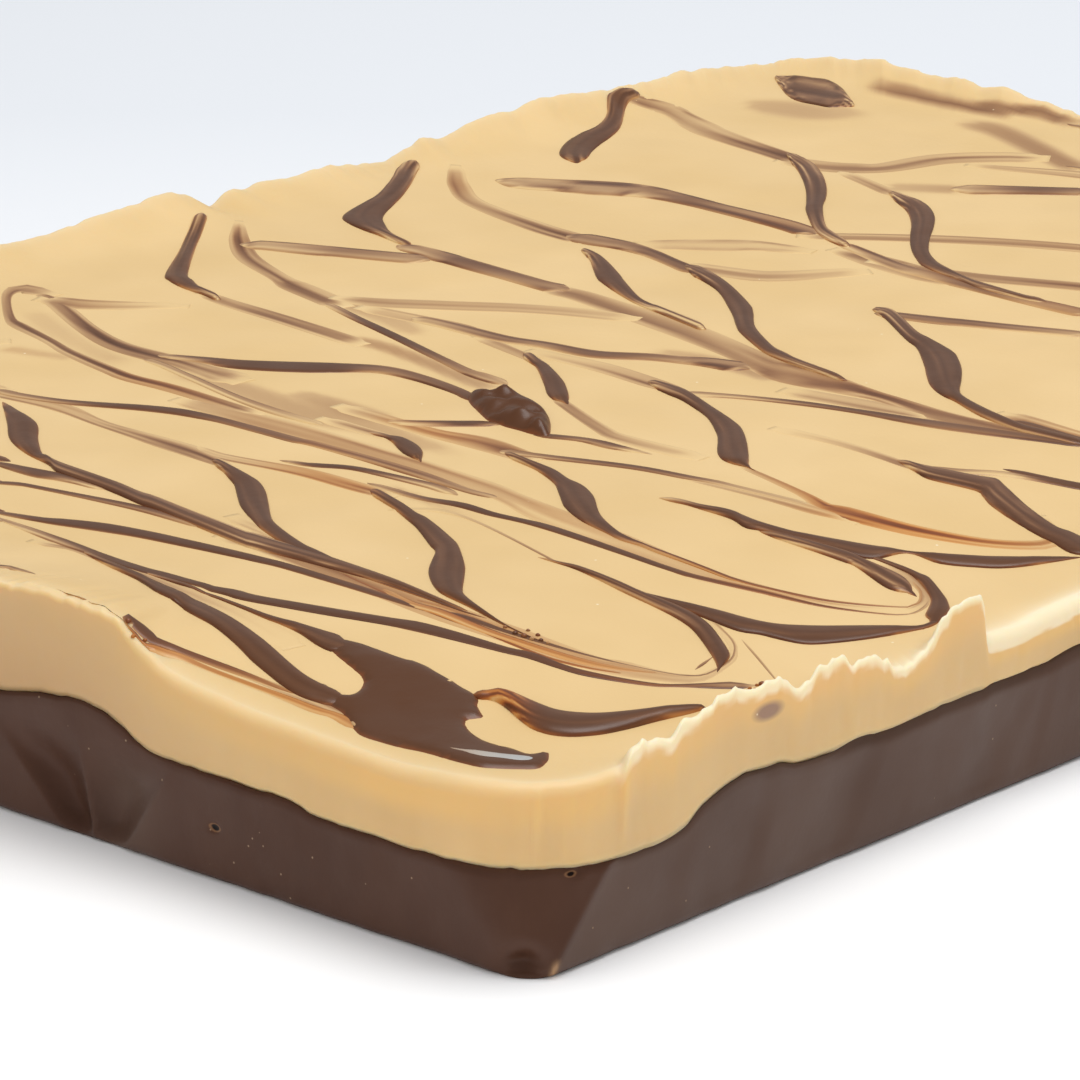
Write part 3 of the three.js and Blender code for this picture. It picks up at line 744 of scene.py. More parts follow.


# ---- The marbling -------------------------------------------------------------------------
# The strokes that show are read off the photo, in pixels of its 1080 by 1080 frame. A row
# is a cut across a stroke. It holds the x and the y of the stroke's two banks, written once where
# both share it, how much chocolate there is and, where it looks orange, how orange. Waves are
# broad strokes, lines fine ones, veils a thin smear, and shades only tint the fudge.

WAVES = [
    # left wave
    [((9, 2), 405, 0.7), ((18, 4), 411, 0.95), ((37, 7), 424, 1), ((38.5, 10), 440, 1),
     ((42, 26), (453, 454), 1), (48, (457, 465), 0.95), (60, (463, 474), 0.85), (100, (477, 488), 0.92),
     (120, (484, 496), 0.9), (140, (492.5, 505), 0.85), (160, (499, 512), 0.8), (240, (530, 545), 0.7),
     (260, (536, 551), 0.72), (360, (568, 577.5), 0.9), (460, (607, 609.5), 0.8)],
    # second wave
    [(218, (460, 469), 0.7), ((230, 223), (466, 472), 0.85), ((240, 229), (471, 479), 0.95),
     ((251, 234), (477, 485), 1), ((260, 236), (483, 492), 1), ((266, 238), (492, 500), 1),
     ((268.5, 242), (502, 509), 1), ((272, 256), (519, 525), 1), ((280, 264), (528, 532), 1),
     ((304, 292), (545, 550), 1), ((320, 312), (552.5, 558), 1), ((380, 376), (580, 582.5), 0.85),
     (420, (594.5, 597.5), 0.85), (460, (609.5, 611.5), 0.75), (480, (616, 617.5), 0.7)],
    # third wave
    [((378, 372), (490, 496), 0.75, 0.3), ((392, 385), (498, 504), 0.9), ((404, 396), (505, 511), 0.95),
     ((417, 408), (514, 521), 1), ((429, 417), (520, 529), 1), ((451, 430), (538, 546), 1),
     ((459, 435), (547, 552), 1), ((465, 431), (565, 562), 1), ((465, 428.5), (574, 569), 1),
     ((464, 429), (582, 577), 1), ((463, 434), (590, 587), 1), ((466, 443), (597, 595), 1),
     ((484, 468), (611, 607), 1), ((508, 500), (626.5, 624), 0.9), ((534, 528), (638.5, 637), 0.85),
     ((546, 542), (643, 642), 0.8)],
    # short wave
    [((380, 374), (433, 436), 0.5), ((391, 385), (436, 438.5), 0.8), ((401, 392), (438, 442.5), 0.95),
     ((411, 398), (442, 449), 1), ((419, 405), (447, 455), 1), ((423, 413), (453, 459), 0.95),
     ((422, 418), (459, 461), 0.8)],
    # fifth wave
    [(510, (453, 459), 0.6), (524, (459, 465), 0.8), ((541, 535), (465, 470), 0.9),
     ((557, 547), (472, 478), 1), ((569, 555), (480, 485), 1), ((581, 558), (485, 492), 1),
     ((589, 561), (491, 500), 1), ((595, 565), (499, 508), 1), ((601, 580), (516, 521), 1),
     ((618, 606), (531.5, 534), 0.95), ((630, 620), (538, 541), 0.8, 0.2), (640, (542.5, 547), 0.7, 0.3),
     (660, (550.5, 555), 0.6, 0.4), (720, (573, 577), 0.6, 0.4), (740, (580, 583), 0.6, 0.4),
     (760, (585.5, 588), 0.6, 0.4), (800, (594.5, 597), 0.6, 0.4), (840, (601.5, 603.5), 0.6, 0.3),
     (900, (606.5, 608), 0.45), (911, (605, 606.5), 0.45), ((918, 921), (601, 602), 0.45),
     ((919, 922), (592, 592), 0.5), ((914, 917), (586, 585), 0.4)],
    # first turn
    [(548, (559, 561), 0.6), (560, (562, 564.5), 0.8), (580, (567, 571.5), 0.85), (620, (583, 591), 0.85),
     (640, (592, 600.5), 0.85), ((664, 658), (601, 609), 0.9), ((682, 676), (608.5, 618.5), 0.9),
     ((700, 690), (618, 628), 0.95), ((713, 700), (629, 639), 1), ((729, 712), (652, 656.5), 1),
     ((728.5, 716), (660, 664), 1), ((722, 717), (667, 668.5), 0.9)],
    # first turn, lower arm
    [(628, (587, 590.5), 0.6), (640, (592, 596), 0.9), (680, (602, 609), 1), (720, (611.5, 625), 1),
     (740, (617, 632), 1), (760, (622, 635), 1), (780, (625, 640), 1), (804, (626, 644.5), 1),
     (827, (626.5, 644), 1), (871, (626.5, 639), 1), (915, (626.5, 631), 1), (930, (623, 627.5), 0.95),
     (938, (620.5, 623.5), 0.9)],
    # second turn
    [(850, (548, 553), 0.8), (875, (556.5, 560), 0.85), (905, (567.5, 572.5), 0.9),
     ((920, 914), (574, 578), 0.95), ((931, 922), (580, 586), 1), ((945, 930), (597, 598), 1),
     ((949, 930), (605, 604), 1), ((950, 927), (612, 611), 1), ((944, 925), (619, 616), 1),
     ((937, 930), (624, 621), 0.95), ((929, 927), (627, 624.5), 0.85)],
    # second turn, inner arm
    [(770, (532, 537), 0.65), (840, (550, 561), 0.8), ((862, 854), (559, 566), 0.82),
     ((892, 878), (571.5, 583), 0.85), ((904, 888), (578, 589), 0.85), ((911, 898), (585.5, 592), 0.85),
     ((913, 906), (591, 593), 0.8)],
    # second turn, lower arm
    [(670, (498, 502), 0.35), (685, (501, 505), 0.55), (700, (505, 509.5), 0.8), (730, (511, 519), 1),
     (745, (517, 528), 0.95), (760, (523, 531), 0.95), (782, (529.5, 537), 1), (804, (534.5, 542), 1),
     (867, (545.5, 559), 1), (907, (551, 553.5), 0.95), (940, (554.5, 564), 1), (982, (557, 568), 1),
     (1004, (557.5, 568.5), 1), (1027, (557.8, 566.5), 1), (1071, (557, 559.8), 0.9)],
    # pool feed
    [(88, (553, 556), 0.6), (120, (567, 572), 0.9), (140, (575, 582), 0.95), (160, (584, 594), 1),
     (180, (592.5, 607), 1), (200, (602.5, 619), 1), ((224, 214), (614, 627), 1),
     ((258, 240), (636, 649), 1), ((274, 255), (649, 664), 1), ((306, 294), (676, 694), 1),
     ((342, 330), (694, 707), 1)],
    # pool prong
    [(150, (573.5, 575.5), 0.6), (180, (582.5, 585.5), 0.85), (200, (589.5, 592.5), 0.9),
     (220, (597.5, 600.5), 0.9), (260, (612.5, 617), 0.95), (280, (619, 624.5), 1), (300, (624.5, 634), 1),
     ((326, 316), (632, 645), 1), ((345, 335), (637, 655), 1)],
    # seventh wave
    [(655, (381, 389), 0.55), ((676, 668), (387, 395), 0.75), ((690, 684), (393, 402), 0.88),
     ((716, 706), (410, 417), 1), ((738, 716), (425, 433), 1), ((744, 717.5), (433, 441), 1),
     ((747, 717), (442, 449), 1), ((748.5, 718), (451, 455), 1), ((749, 723), (459, 460.5), 1),
     ((749, 733), (465, 464.5), 0.95), ((752, 746), (469, 467.5), 0.7)],
    # eighth wave
    [(690, (263, 276), 0.7), ((708, 700), (271, 280), 0.75), ((731, 718), (286, 292), 0.95),
     ((750, 729), (305, 309), 1), ((753.5, 733), (313, 317), 1), ((754, 736), (321, 326), 1),
     ((757, 741), (330, 334), 1), ((773, 761), (347, 351), 0.95), ((786, 776), (354, 359), 0.85),
     (800, (361, 368), 0.75), (840, (376, 381), 0.68)],
    # ninth wave
    [(880, (307, 317), 0.6), ((895, 886), (312, 320), 0.7), ((917, 906), (332, 340), 0.9),
     ((932, 917), (340, 349), 1), ((953, 924), (352, 366), 1), ((959, 926), (360, 375), 1),
     ((962, 929), (370, 384), 1), ((961.5, 935), (381, 391), 1), ((960, 944), (391, 397), 1),
     ((965, 955), (398, 402), 1), ((991, 981), (412, 417), 0.9), ((1021, 1012), (424.5, 429), 0.8),
     ((1041, 1032), (430, 435), 0.8), ((1082, 1073), (440, 445), 0.85)],
    # wave past the lump
    [((532, 523), (354, 359), 0.6), ((541, 531), (361, 364), 0.85), ((549, 537), (366, 369), 1),
     ((563, 544), (381, 385), 1), ((567, 547), (389, 394), 1), ((569, 553), (396, 400), 1),
     ((569, 561), (401, 402.5), 0.85)],
    # narrow wave
    [(586, (249, 257), 0.5), ((603, 590), (258, 261), 0.8), ((619, 596), (274, 277), 1),
     ((625, 603), (282, 284), 1), ((640, 626), (298, 299), 0.9), ((652, 641), (304.5, 306.5), 0.7),
     (664, (309, 316), 0.6), (700, (323, 331), 0.45)],
    # left back hook
    [((208, 193), 217, 0.45), ((200, 185), 238, 0.8), ((194, 178), 253, 0.92), ((188, 165), 275, 1),
     ((193, 169), (281, 281), 1), ((198, 182), (286, 288), 0.95), (203, (289, 295.5), 0.8),
     (215, (293.5, 301), 0.6)],
    # middle back hook
    [((421, 404), (167, 162), 0.5), ((417, 397), (173, 169), 0.65), ((413, 392), (181, 178), 0.85),
     ((408, 385), (189, 187), 0.92), ((401, 376), (198, 196), 0.97), ((393, 362), (206, 204), 1),
     ((386, 348), (213, 212), 1), ((383, 342), (219, 218), 1), ((386, 348), (226, 223.5), 1),
     ((390, 362), (232, 230), 0.92), ((399, 379), (238, 236), 0.75), ((412, 398), (243.5, 244), 0.5)],
    # right back hook
    [((641, 623), (98, 88), 0.65), ((631, 609), (101, 94), 0.82), ((626, 607), (108, 104), 0.86),
     ((624, 607), (116, 113), 0.88), ((622, 603), (124, 121), 0.92), ((618, 594), (131, 128), 0.96),
     ((610, 580), (138, 134), 1), ((600, 567), (145, 142), 1), ((592, 560), (152, 150), 1),
     ((588, 560), (157.5, 156), 0.95), ((583, 568), (161, 161), 0.8)],
    # far wave
    [(790, (152, 163), 0.55), ((812, 797), (163, 170), 0.65), ((820, 801), (171, 177), 0.75),
     ((825, 804), (180, 184), 0.88), ((827, 806), (190, 193), 0.96), ((826, 806), (199, 203), 1),
     ((823, 806), (208, 212), 1), ((826, 814), (226, 230), 0.8), ((835, 824), (234, 239), 0.65),
     (846, (241, 249), 0.55, 0.1)],
    # farthest wave
    [(893, (191, 200), 0.45), ((908, 898), (197, 204), 0.65), ((920, 906), (201, 211), 0.82),
     ((930, 910), (208, 219), 0.92), ((935, 911), (217, 227), 0.96), ((934, 910), (227, 235), 0.98),
     ((931, 910), (236, 244), 1), ((929, 912), (245, 252), 1), ((930, 916), (254, 259), 1),
     ((938, 922), (263, 266), 0.97), ((950, 936), (270, 273), 0.88), (962, (276, 283), 0.8),
     (980, (283, 290), 0.78), (1020, (295, 300), 0.65), (1040, (299, 304), 0.55)],
    # back corner patch
    [(778, (74, 86), 0.45), (788, (75, 97), 0.75), (800, (76, 102), 0.8), (815, (78, 105), 0.78),
     (830, (80, 108), 0.78), (842, (86, 109), 0.75), (851, (97, 110), 0.5)],
    # third turn
    [(905, (461, 467), 0.55), (915, (464, 472), 0.7), (930, (467, 480), 0.78), (975, (476, 491), 0.85),
     ((996, 982), (479, 496), 0.88), ((1006, 991), (487, 506), 0.88), ((1029, 1014), (508, 522), 0.88),
     ((1056, 1040), (527, 537), 1), ((1070, 1054), (532, 544), 1), ((1084, 1067), (539, 552), 1),
     ((1094, 1080), (548, 556), 1)],
]

LINES = [
    [(0, (511, 515), 0.8), (40, (517, 522.5), 0.95), (60, (518.5, 526), 1), (100, (522.5, 532), 1),
     (140, (529.5, 538.5), 1), (180, (538, 546.5), 1), (260, (556.5, 563.5), 1), (300, (567, 574), 0.98),
     (420, (605, 610.5), 0.86), (460, (613.5, 618.5), 0.86), (500, (627.5, 632), 0.86),
     (540, (640, 644), 0.84), (600, (657.5, 660), 0.8), (665, (672, 674), 0.75), (690, (675, 677), 0.75),
     (707, (673, 675.5), 0.7), ((727, 729.5), (661.5, 663), 0.65), ((733, 736), (652, 652.5), 0.6),
     ((730, 733), (639.5, 639), 0.55), ((708, 711), (618.5, 617), 0.4)],
    [(0, (517, 521), 0.5), (60, (537, 545.5), 0.65), (100, (552, 559), 0.92), (140, (565.5, 572.5), 1),
     (160, (571, 578), 0.97), (200, (582, 587.5), 1), (230, (588.5, 596.5), 1), (260, (596, 604), 1),
     (380, (616, 624.5), 1), (420, (622, 633), 1), (500, (645, 652.5), 1),
     (530, (651.5, 659.5), 0.97, 0.1), (560, (663, 669.5), 0.95, 0.2), (590, (671.5, 677.5), 0.92, 0.3),
     (650, (682.5, 686.5), 0.85, 0.4), (680, (684, 687.5), 0.85, 0.2), (730, (682, 689.5), 0.6),
     (742, (683, 689), 0.65), (752, (684.5, 687), 0.5)],
    [(0, (461, 467), 0.85), (40, (469, 479), 0.9), (60, (473, 482), 0.78), (80, (479, 486), 0.65),
     (100, (485, 491), 0.5)],
    [(0, (481, 485), 0.85), (20, (482.5, 486.5), 0.88), (40, (486, 490), 0.9), (140, (505.5, 512), 0.8),
     (200, (522, 529), 0.6)],
    [(0, (388, 395), 0.55), (20, (393, 399), 0.58), (60, (399, 404.5), 0.72), (110, (403, 408.5), 0.95),
     (170, (407.5, 414.5), 0.95), (200, (412.5, 419.5), 0.88), (230, (419.5, 426), 0.8),
     (290, (435.5, 442.5), 0.74), (320, (442.5, 449), 0.7, 0.2), (410, (467.5, 476), 0.55, 0.1),
     (465, (487, 493), 0.48), (490, (493.5, 499), 0.4)],
    [(290, (460, 464), 0.5), (305, (462.5, 466.5), 0.85), (320, (463.5, 468), 0.97),
     (360, (467, 472), 0.97), (425, (481, 488), 0.55), (450, (489, 496), 0.45)],
    [(376, (483, 488), 0.5), (420, (495.5, 500.5), 0.82), (460, (502, 508), 1), (490, (511, 516.5), 1),
     (520, (518, 523), 1), (550, (525, 531.5), 0.98), (640, (556, 561.5), 0.96),
     (670, (566.5, 571.5), 0.93), (700, (575.5, 580.5), 0.9, 0.25), (760, (589, 594), 0.82, 0.5),
     (820, (604, 607), 0.75, 0.4), (880, (612.5, 614.5), 0.55, 0.2), (900, (614, 615.5), 0.45),
     (914, (612, 614), 0.45), ((924, 927), (605.5, 607.5), 0.45), ((929, 931.5), (597.5, 598), 0.5)],
    [(508, (449, 456), 0.5), (530, (452.5, 458), 0.6), (580, (458.5, 463.5), 0.8), (640, (466, 471), 0.86),
     (690, (475.5, 480.5), 0.76), (715, (480, 485), 0.6), (740, (486, 491), 0.45),
     (800, (500.5, 505.5), 0.36)],
    [(165, (354, 359), 0.5), (205, (357, 364), 0.72), (245, (360, 370), 0.96), (305, (362, 373), 1),
     (335, (363, 373), 0.97), (380, (365.5, 374), 0.66), (420, (374, 383), 0.75), (458, (387, 396), 0.85),
     (472, (394, 404), 0.95)],
    [(330, (302, 309), 0.45), (362, (317.5, 325), 0.88), (400, (335, 343), 0.97), (460, (364, 373), 0.64),
     (480, (371, 381), 0.54), (500, (378, 387), 0.4)],
    [(395, (419.5, 425), 0.4, 0.3), (415, (420.5, 427), 0.5, 0.2), (455, (421, 427), 0.92),
     (475, (421, 427), 0.92), (490, (421.5, 427), 0.75)],
    [(545, (433.5, 438.5), 0.92), (580, (437, 442), 0.75), (600, (440, 447), 0.75),
     (615, (444, 450.5), 0.72), (642, (451, 454), 0.35)],
    [(420, (315, 324), 0.3), (440, (319, 328), 0.38), (500, (334, 343), 0.62), (545, (341.5, 349), 0.6),
     (595, (350.5, 358.5), 0.78), (650, (353.5, 361), 0.68), (680, (356, 364), 0.58),
     (710, (357.5, 368), 0.52), (740, (361, 374), 0.5)],
    [(405, (242, 252), 0.5), (425, (246, 258), 0.5), (445, (251, 265), 0.66), (460, (256, 268.5), 0.8),
     (530, (276, 288), 0.58), (560, (283, 296), 0.5)],
    [(250, (240, 250), 0.42), (270, (241, 251), 0.38), (320, (245, 256.5), 0.58),
     (345, (247.5, 258), 0.64), (420, (254.5, 265), 0.45)],
    [(505, (176, 186), 0.38), (530, (177.5, 190), 0.44), (560, (179, 192), 0.44), (590, (180, 195), 0.44),
     (620, (182, 197), 0.48), (645, (185, 199), 0.56), (670, (190.5, 203), 0.68),
     (695, (196.5, 208), 0.66), (720, (203, 214), 0.55), (780, (217, 230), 0.5, 0.15),
     (810, (226, 240), 0.5)],
    [(575, (231, 243), 0.62), (600, (235.5, 247.5), 0.64), (625, (240.5, 252), 0.64),
     (650, (248, 259), 0.7), (672, (257, 268), 0.74), (692, (264.5, 277), 0.74)],
    [(690, (391, 397), 0.4), (740, (395, 399.5), 0.55), (800, (401, 406), 0.78),
     (860, (409.5, 414.5), 0.88), (950, (422.5, 431), 0.76), (1080, (441, 448), 0.85)],
    [(930, (466, 472), 0.5), (960, (469, 475), 0.45), (1003, (471.5, 476.5), 0.3),
     (1040, (477.5, 482.5), 0.85), (1085, (485, 491.5), 0.97)],
    [(885, (311, 318), 0.55), (940, (317, 325), 0.68), (970, (320, 327.5), 0.66), (1080, (331, 338), 0.4)],
    [(960, (184, 195), 0.35), (1030, (186.5, 195), 0.8), (1085, (188, 196), 0.6)],
    [(846, (241, 250), 0.5, 0.1), (900, (262, 273), 0.5), (930, (270, 281), 0.52, 0.1),
     (990, (287, 296), 0.74), (1050, (301, 311), 0.5, 0.2), (1085, (309, 319), 0.5, 0.2)],
    [(400, (508, 512), 0.12), (440, (509, 513), 0.22), (480, (522, 525), 0.3), (552, (558.5, 561), 0.5)],
    [((700, 702), (664, 667), 0.6), ((708, 709), (659, 661), 0.5)],
    [(385, (588, 593), 0.5, 0.5), (410, (600, 607), 0.6, 0.7), (440, (608.5, 617), 0.62, 0.8),
     (500, (632.5, 639.5), 0.68, 0.85), (590, (660.5, 667), 0.62, 0.8), (668, (674, 675.5), 0.5, 0.4)],
    [(420, (599, 602.5), 0.55, 0.4), (450, (607.5, 611.5), 0.6, 0.5), (510, (631, 633.5), 0.55, 0.4)],
    [(150, (358, 364), 0.48), (170, (365, 372), 0.5), (230, (391.5, 399), 0.52), (270, (406, 414), 0.42),
     (315, (420, 426), 0.28)],
    [(56, (593, 596), 0.5, 0.5), (66, (593, 599), 0.68, 0.6), (80, (597, 602), 0.66, 0.6),
     (102, (607, 612), 0.66, 0.6), (116, (615, 619), 0.6, 0.5)],
    [(0, (565, 568.5), 0.7), (10, (566.5, 570), 0.7), (27, (571, 573), 0.6)],
    [(122, (620, 624), 0.6, 0.3), ((137, 126), (616, 621), 0.95), ((147, 136), (627, 632), 0.95, 0.1),
     ((160, 152), (639, 645), 0.92, 0.2), (176, (645, 652.5), 0.9, 0.25), (238, (668.5, 676), 0.8, 0.35),
     (300, (694.5, 697), 0.5, 0.4)],
    [((126, 119), (621, 625), 0.6, 0.6), ((136, 127), (632, 638), 0.7, 0.75),
     (142, (641, 650), 0.68, 0.85), (158, (645.5, 654.5), 0.66, 0.85), (178, (652.5, 660), 0.6, 0.8),
     (200, (662.5, 668.5), 0.6, 0.7), (266, (687.5, 694), 0.6, 0.8), (312, (704.5, 713), 0.62, 0.8),
     (334, (711, 719.5), 0.6, 0.8), (352, (718, 731), 0.6, 0.65)],
    [((745, 747), (645, 644), 0.3), ((757, 759.5), (659, 658), 0.42), ((773, 775), (678, 677), 0.4)],
    [(366, (577, 579), 0.8, 0.3), (403, (593, 595.5), 0.85, 0.4), (440, (609, 611.5), 0.85, 0.5),
     (476, (622, 624.5), 0.85, 0.4), (513, (637, 639.5), 0.8, 0.5), (550, (651.5, 654), 0.8, 0.6),
     (587, (661, 663.5), 0.8, 0.6), (623, (667.5, 670), 0.75, 0.6), (655, (671.5, 674), 0.7, 0.6)],
    [(340, (571, 574.5), 0.75, 0.5), (366, (583, 586.5), 0.75, 0.6), (403, (599.5, 603), 0.8, 0.7),
     (440, (615, 618), 0.8, 0.7), (476, (628, 631), 0.8, 0.7), (513, (643, 646), 0.8, 0.8),
     (550, (657, 660), 0.8, 0.8), (587, (666.5, 669), 0.75, 0.8), (620, (672, 674.5), 0.7, 0.7)],
]

VEILS = [
    [(240, (527, 548), 0.35), (270, (535, 557), 0.4), (380, (579, 599), 0.42, 0.2),
     (460, (607, 629), 0.42, 0.35), (580, (650, 668), 0.38, 0.3), (620, (659.5, 677), 0.34, 0.2),
     (655, (669, 682), 0.3, 0.15), (685, (674, 684), 0.28), (705, (672, 681), 0.28),
     ((727, 734), (660, 663), 0.28), ((730, 738), (652, 652), 0.28), ((725, 733), (641, 638), 0.28),
     ((703, 708), (620, 616), 0.25)],
    [(244, (513, 529), 0.22), (322, (553, 559), 0.36)],
    [(50, (541, 548), 0.4), (80, (549, 554), 0.45), (160, (576, 587), 0.28), (180, (583, 598), 0.22),
     (200, (589, 607), 0.18), (225, (600, 618), 0.12), (280, (625, 655), 0.03)],
    [(0, (391, 398), 0.5), (60, (402, 413), 0.45, 0.1), (105, (420.5, 429), 0.5), (180, (440.5, 455), 0.5),
     (222, (459, 469), 0.6)],
    [(200, (446, 453.5), 0.38), (225, (453.5, 461), 0.44), (300, (466.5, 476.5), 0.62, 0.5),
     (355, (480.5, 492), 0.62, 0.55), (378, (487, 498), 0.6, 0.3)],
    [(190, (398, 409), 0.3), (265, (414, 430), 0.36, 0.15), (390, (449.5, 465), 0.38, 0.2),
     (480, (477.5, 496), 0.33, 0.2), (510, (489, 507), 0.3, 0.2), (565, (510, 533), 0.28, 0.35),
     (690, (561.5, 579), 0.3, 0.2), (730, (576, 588), 0.36, 0.35), (810, (597.5, 604.5), 0.34, 0.4),
     (862, (605, 612.5), 0.18, 0.2), (902, (607, 614.5), 0.02), (914, (604.5, 612.5), 0.2),
     ((919, 930), (600, 602), 0.38), ((917, 929), (591, 590), 0.42), ((900, 912), (576, 573), 0.35),
     ((885, 893), (568, 564), 0.3)],
    [((42, 40), (297, 288), 0.5), ((26, 23), (294, 284), 0.52), ((15, 9), (295, 287), 0.52),
     ((11.5, 1), (301, 297), 0.56), ((15, 5), (316, 321), 0.62), ((23, 16), (322, 330), 0.6),
     (50, (336.5, 346.5), 0.5), (70, (348, 358.5), 0.5), (110, (365, 376), 0.6, 0.1),
     (130, (373, 383), 0.62, 0.25), (170, (383, 393), 0.55, 0.35), (245, (406, 416), 0.42)],
    [((44, 38), (290, 297), 0.5), ((64, 52), (300, 310), 0.52), ((94, 82), (324, 335), 0.74),
     ((122, 112), (340, 351), 0.68), ((162, 153), (351.5, 363), 0.58), (178, (355.5, 368), 0.5),
     (200, (361, 376), 0.4), (230, (368, 388), 0.32)],
    [(55, (296, 306), 0.5), (90, (299.5, 310.5), 0.4, 0.1), (168, (303, 309), 0.08)],
    [((246, 232), 226, 0.3, 0.1), ((251, 228), 241, 0.56, 0.1), ((260, 238), (256, 261), 0.46),
     (280, (270, 286), 0.48), (295, (277, 295), 0.52), (335, (294, 312), 0.48)],
    [(212, (292, 302), 0.5), (232, (299, 309.5), 0.46), (275, (311.5, 322.5), 0.66),
     (350, (334.5, 347), 0.4)],
    [(350, (296, 304), 0.3), (380, (298, 308), 0.3), (420, (299.5, 310), 0.28),
     (520, (303.5, 313.5), 0.28), (570, (307, 317), 0.28), (620, (312, 322), 0.24)],
    [(375, (306, 315), 0.26), (450, (320.5, 330.5), 0.4), (475, (327.5, 338), 0.45)],
    [(488, (336, 346), 0.4), (534, (356, 364), 0.55)],
    [((573, 551), (404, 401), 0.5), ((613, 596), (429, 433), 0.4), ((631, 613), (436, 441), 0.32),
     ((695, 676), (451, 458), 0.14)],
    [(545, (350, 359), 0.14), (600, (361, 373), 0.28), (650, (376, 389), 0.48), (672, (384, 394), 0.55)],
    [(352, (404, 416), 0.2), (425, (425.5, 436.5), 0.42, 0.55), (478, (434.5, 450.5), 0.45, 0.3),
     (522, (449, 463), 0.58, 0.15)],
    [(335, (418, 427), 0.3), (385, (433, 440), 0.5)],
    [(560, (284, 298), 0.42), (590, (291, 307), 0.42), (680, (318.5, 340), 0.42), (740, (342, 364), 0.46),
     (765, (352.5, 376), 0.52, 0.05), (790, (361, 386.5), 0.6, 0.1), (815, (369, 391.5), 0.62, 0.12),
     (865, (387, 400), 0.62, 0.15), (890, (394, 406.5), 0.56, 0.12), (940, (409, 425), 0.5, 0.05),
     (990, (421.5, 434.5), 0.58, 0.05), (1080, (440, 448.5), 0.78)],
    [(800, (388, 399), 0.26), (880, (402, 413.5), 0.34), (915, (411, 419), 0.36)],
    [(748, (466.5, 472), 0.42, 0.2), (805, (491, 500), 0.54, 0.6), (822, (499, 513.5), 0.66, 0.7),
     (838, (504, 519), 0.78, 0.75), (910, (523.5, 536), 0.62, 1), (985, (538, 547.5), 0.5, 0.9),
     (1042, (539.5, 550), 0.38, 0.6), ((1052, 1062), (531, 538), 0.34, 0.4),
     ((1045, 1056), (522, 526), 0.3, 0.3)],
    [(700, (478, 484), 0.3), (760, (492, 499), 0.34), (815, (504, 515.5), 0.38, 0.4),
     (840, (514, 521), 0.36, 0.6)],
    [(790, (428, 436), 0.1), (845, (441.5, 448.5), 0.28), (910, (463, 470), 0.66)],
    [((465, 447), 171, 0.24, 0.1), ((471, 447), 186, 0.44, 0.2), ((483, 467), (200, 206), 0.34),
     (535, (219.5, 233), 0.5), (575, (231.5, 245), 0.65)],
    [(632, (92, 104), 0.58), (664, (100, 115), 0.5), (680, (106, 124), 0.44), (700, (116, 137), 0.42),
     (720, (127.5, 144), 0.44), (792, (153, 166), 0.58)],
    [(655, (240, 250), 0.28), (725, (239, 251.5), 0.38), (760, (241, 251.5), 0.38),
     (795, (246, 254), 0.3)],
    [(695, (262, 272), 0.4), (750, (269.5, 281), 0.46), (785, (270.5, 281.5), 0.42),
     (850, (268, 277), 0.24)],
    [(795, (157, 167), 0.36), (825, (161, 172), 0.48), (855, (163, 173.5), 0.54),
     (885, (162.5, 173), 0.52), (940, (153.5, 165), 0.42), (1000, (152, 162.5), 0.34),
     (1030, (153, 163), 0.3)],
    [(850, (171, 180), 0.26), (890, (187.5, 198), 0.42)],
    [(846, (248, 258), 0.36), (880, (254, 270), 0.44), (915, (264, 281), 0.46, 0.05),
     (950, (275, 288), 0.5, 0.05)],
    [((985, 976), (484, 489), 0.5), ((1025, 1014), (516, 524), 0.42)],
    [(244, (670, 678), 0.2), (322, (701, 709.5), 0.38), (410, (738, 744), 0.3)],
]

SHADES = [
    [(380, (478, 489), 0.3), (430, (497, 508), 0.2), (490, (513, 535), 0.05)],
    [(160, (360, 372), 0.3), (190, (366, 384), 0.3), (225, (373, 395), 0.28), (300, (396, 424), 0.3),
     (340, (407, 434), 0.3), (375, (416, 440), 0.28), (405, (428, 448), 0.26), (475, (452, 470), 0.14)],
    [(290, (384, 396), 0.2), (325, (392, 410), 0.3), (355, (401, 420), 0.32), (385, (411, 427), 0.32)],
    [(-4, (341, 353), 0.2, 0.3), (72, (354, 363), 0.2)],
    [((40, 14), (301, 311), 0.14), ((70, 32), (322, 331), 0.16), ((108, 70), (346, 351), 0.16),
     ((150, 108), (364, 369), 0.2)],
    [(335, (292, 306), 0.3), (360, (298, 318), 0.3), (390, (306, 332), 0.24), (420, (326, 347), 0.2)],
    [(330, (328, 342), 0.34), (390, (341.5, 356), 0.38, 0.1), (480, (377.5, 392.5), 0.34),
     (505, (386, 397), 0.26)],
    [(640, (345, 356), 0.22), (690, (350, 362), 0.26), (740, (360, 376), 0.34), (780, (374, 388), 0.36)],
    [(1030, (543, 557), 0.1), (1050, (541, 557), 0.06), (1068, (546, 557), 0.04)],
    [(880, (181, 192), 0.2), (960, (184, 195.5), 0.34)],
    [(855, (75, 87), 0.4), (905, (82, 101), 0.58), (955, (95.5, 112), 0.62), (980, (99, 115.5), 0.62),
     (1005, (101, 117), 0.58), (1030, (103, 117), 0.58), (1055, (110, 124), 0.58),
     (1085, (117, 136), 0.58)],
    [(955, (111, 124), 0.3), (980, (115, 135), 0.36), (1005, (121, 145), 0.42), (1055, (146, 170), 0.46),
     (1085, (161, 185), 0.46)],
    [(735, (99, 115), 0.2), (775, (97, 117), 0.26), (820, (104, 123), 0.26), (865, (100, 118), 0.16)],
]
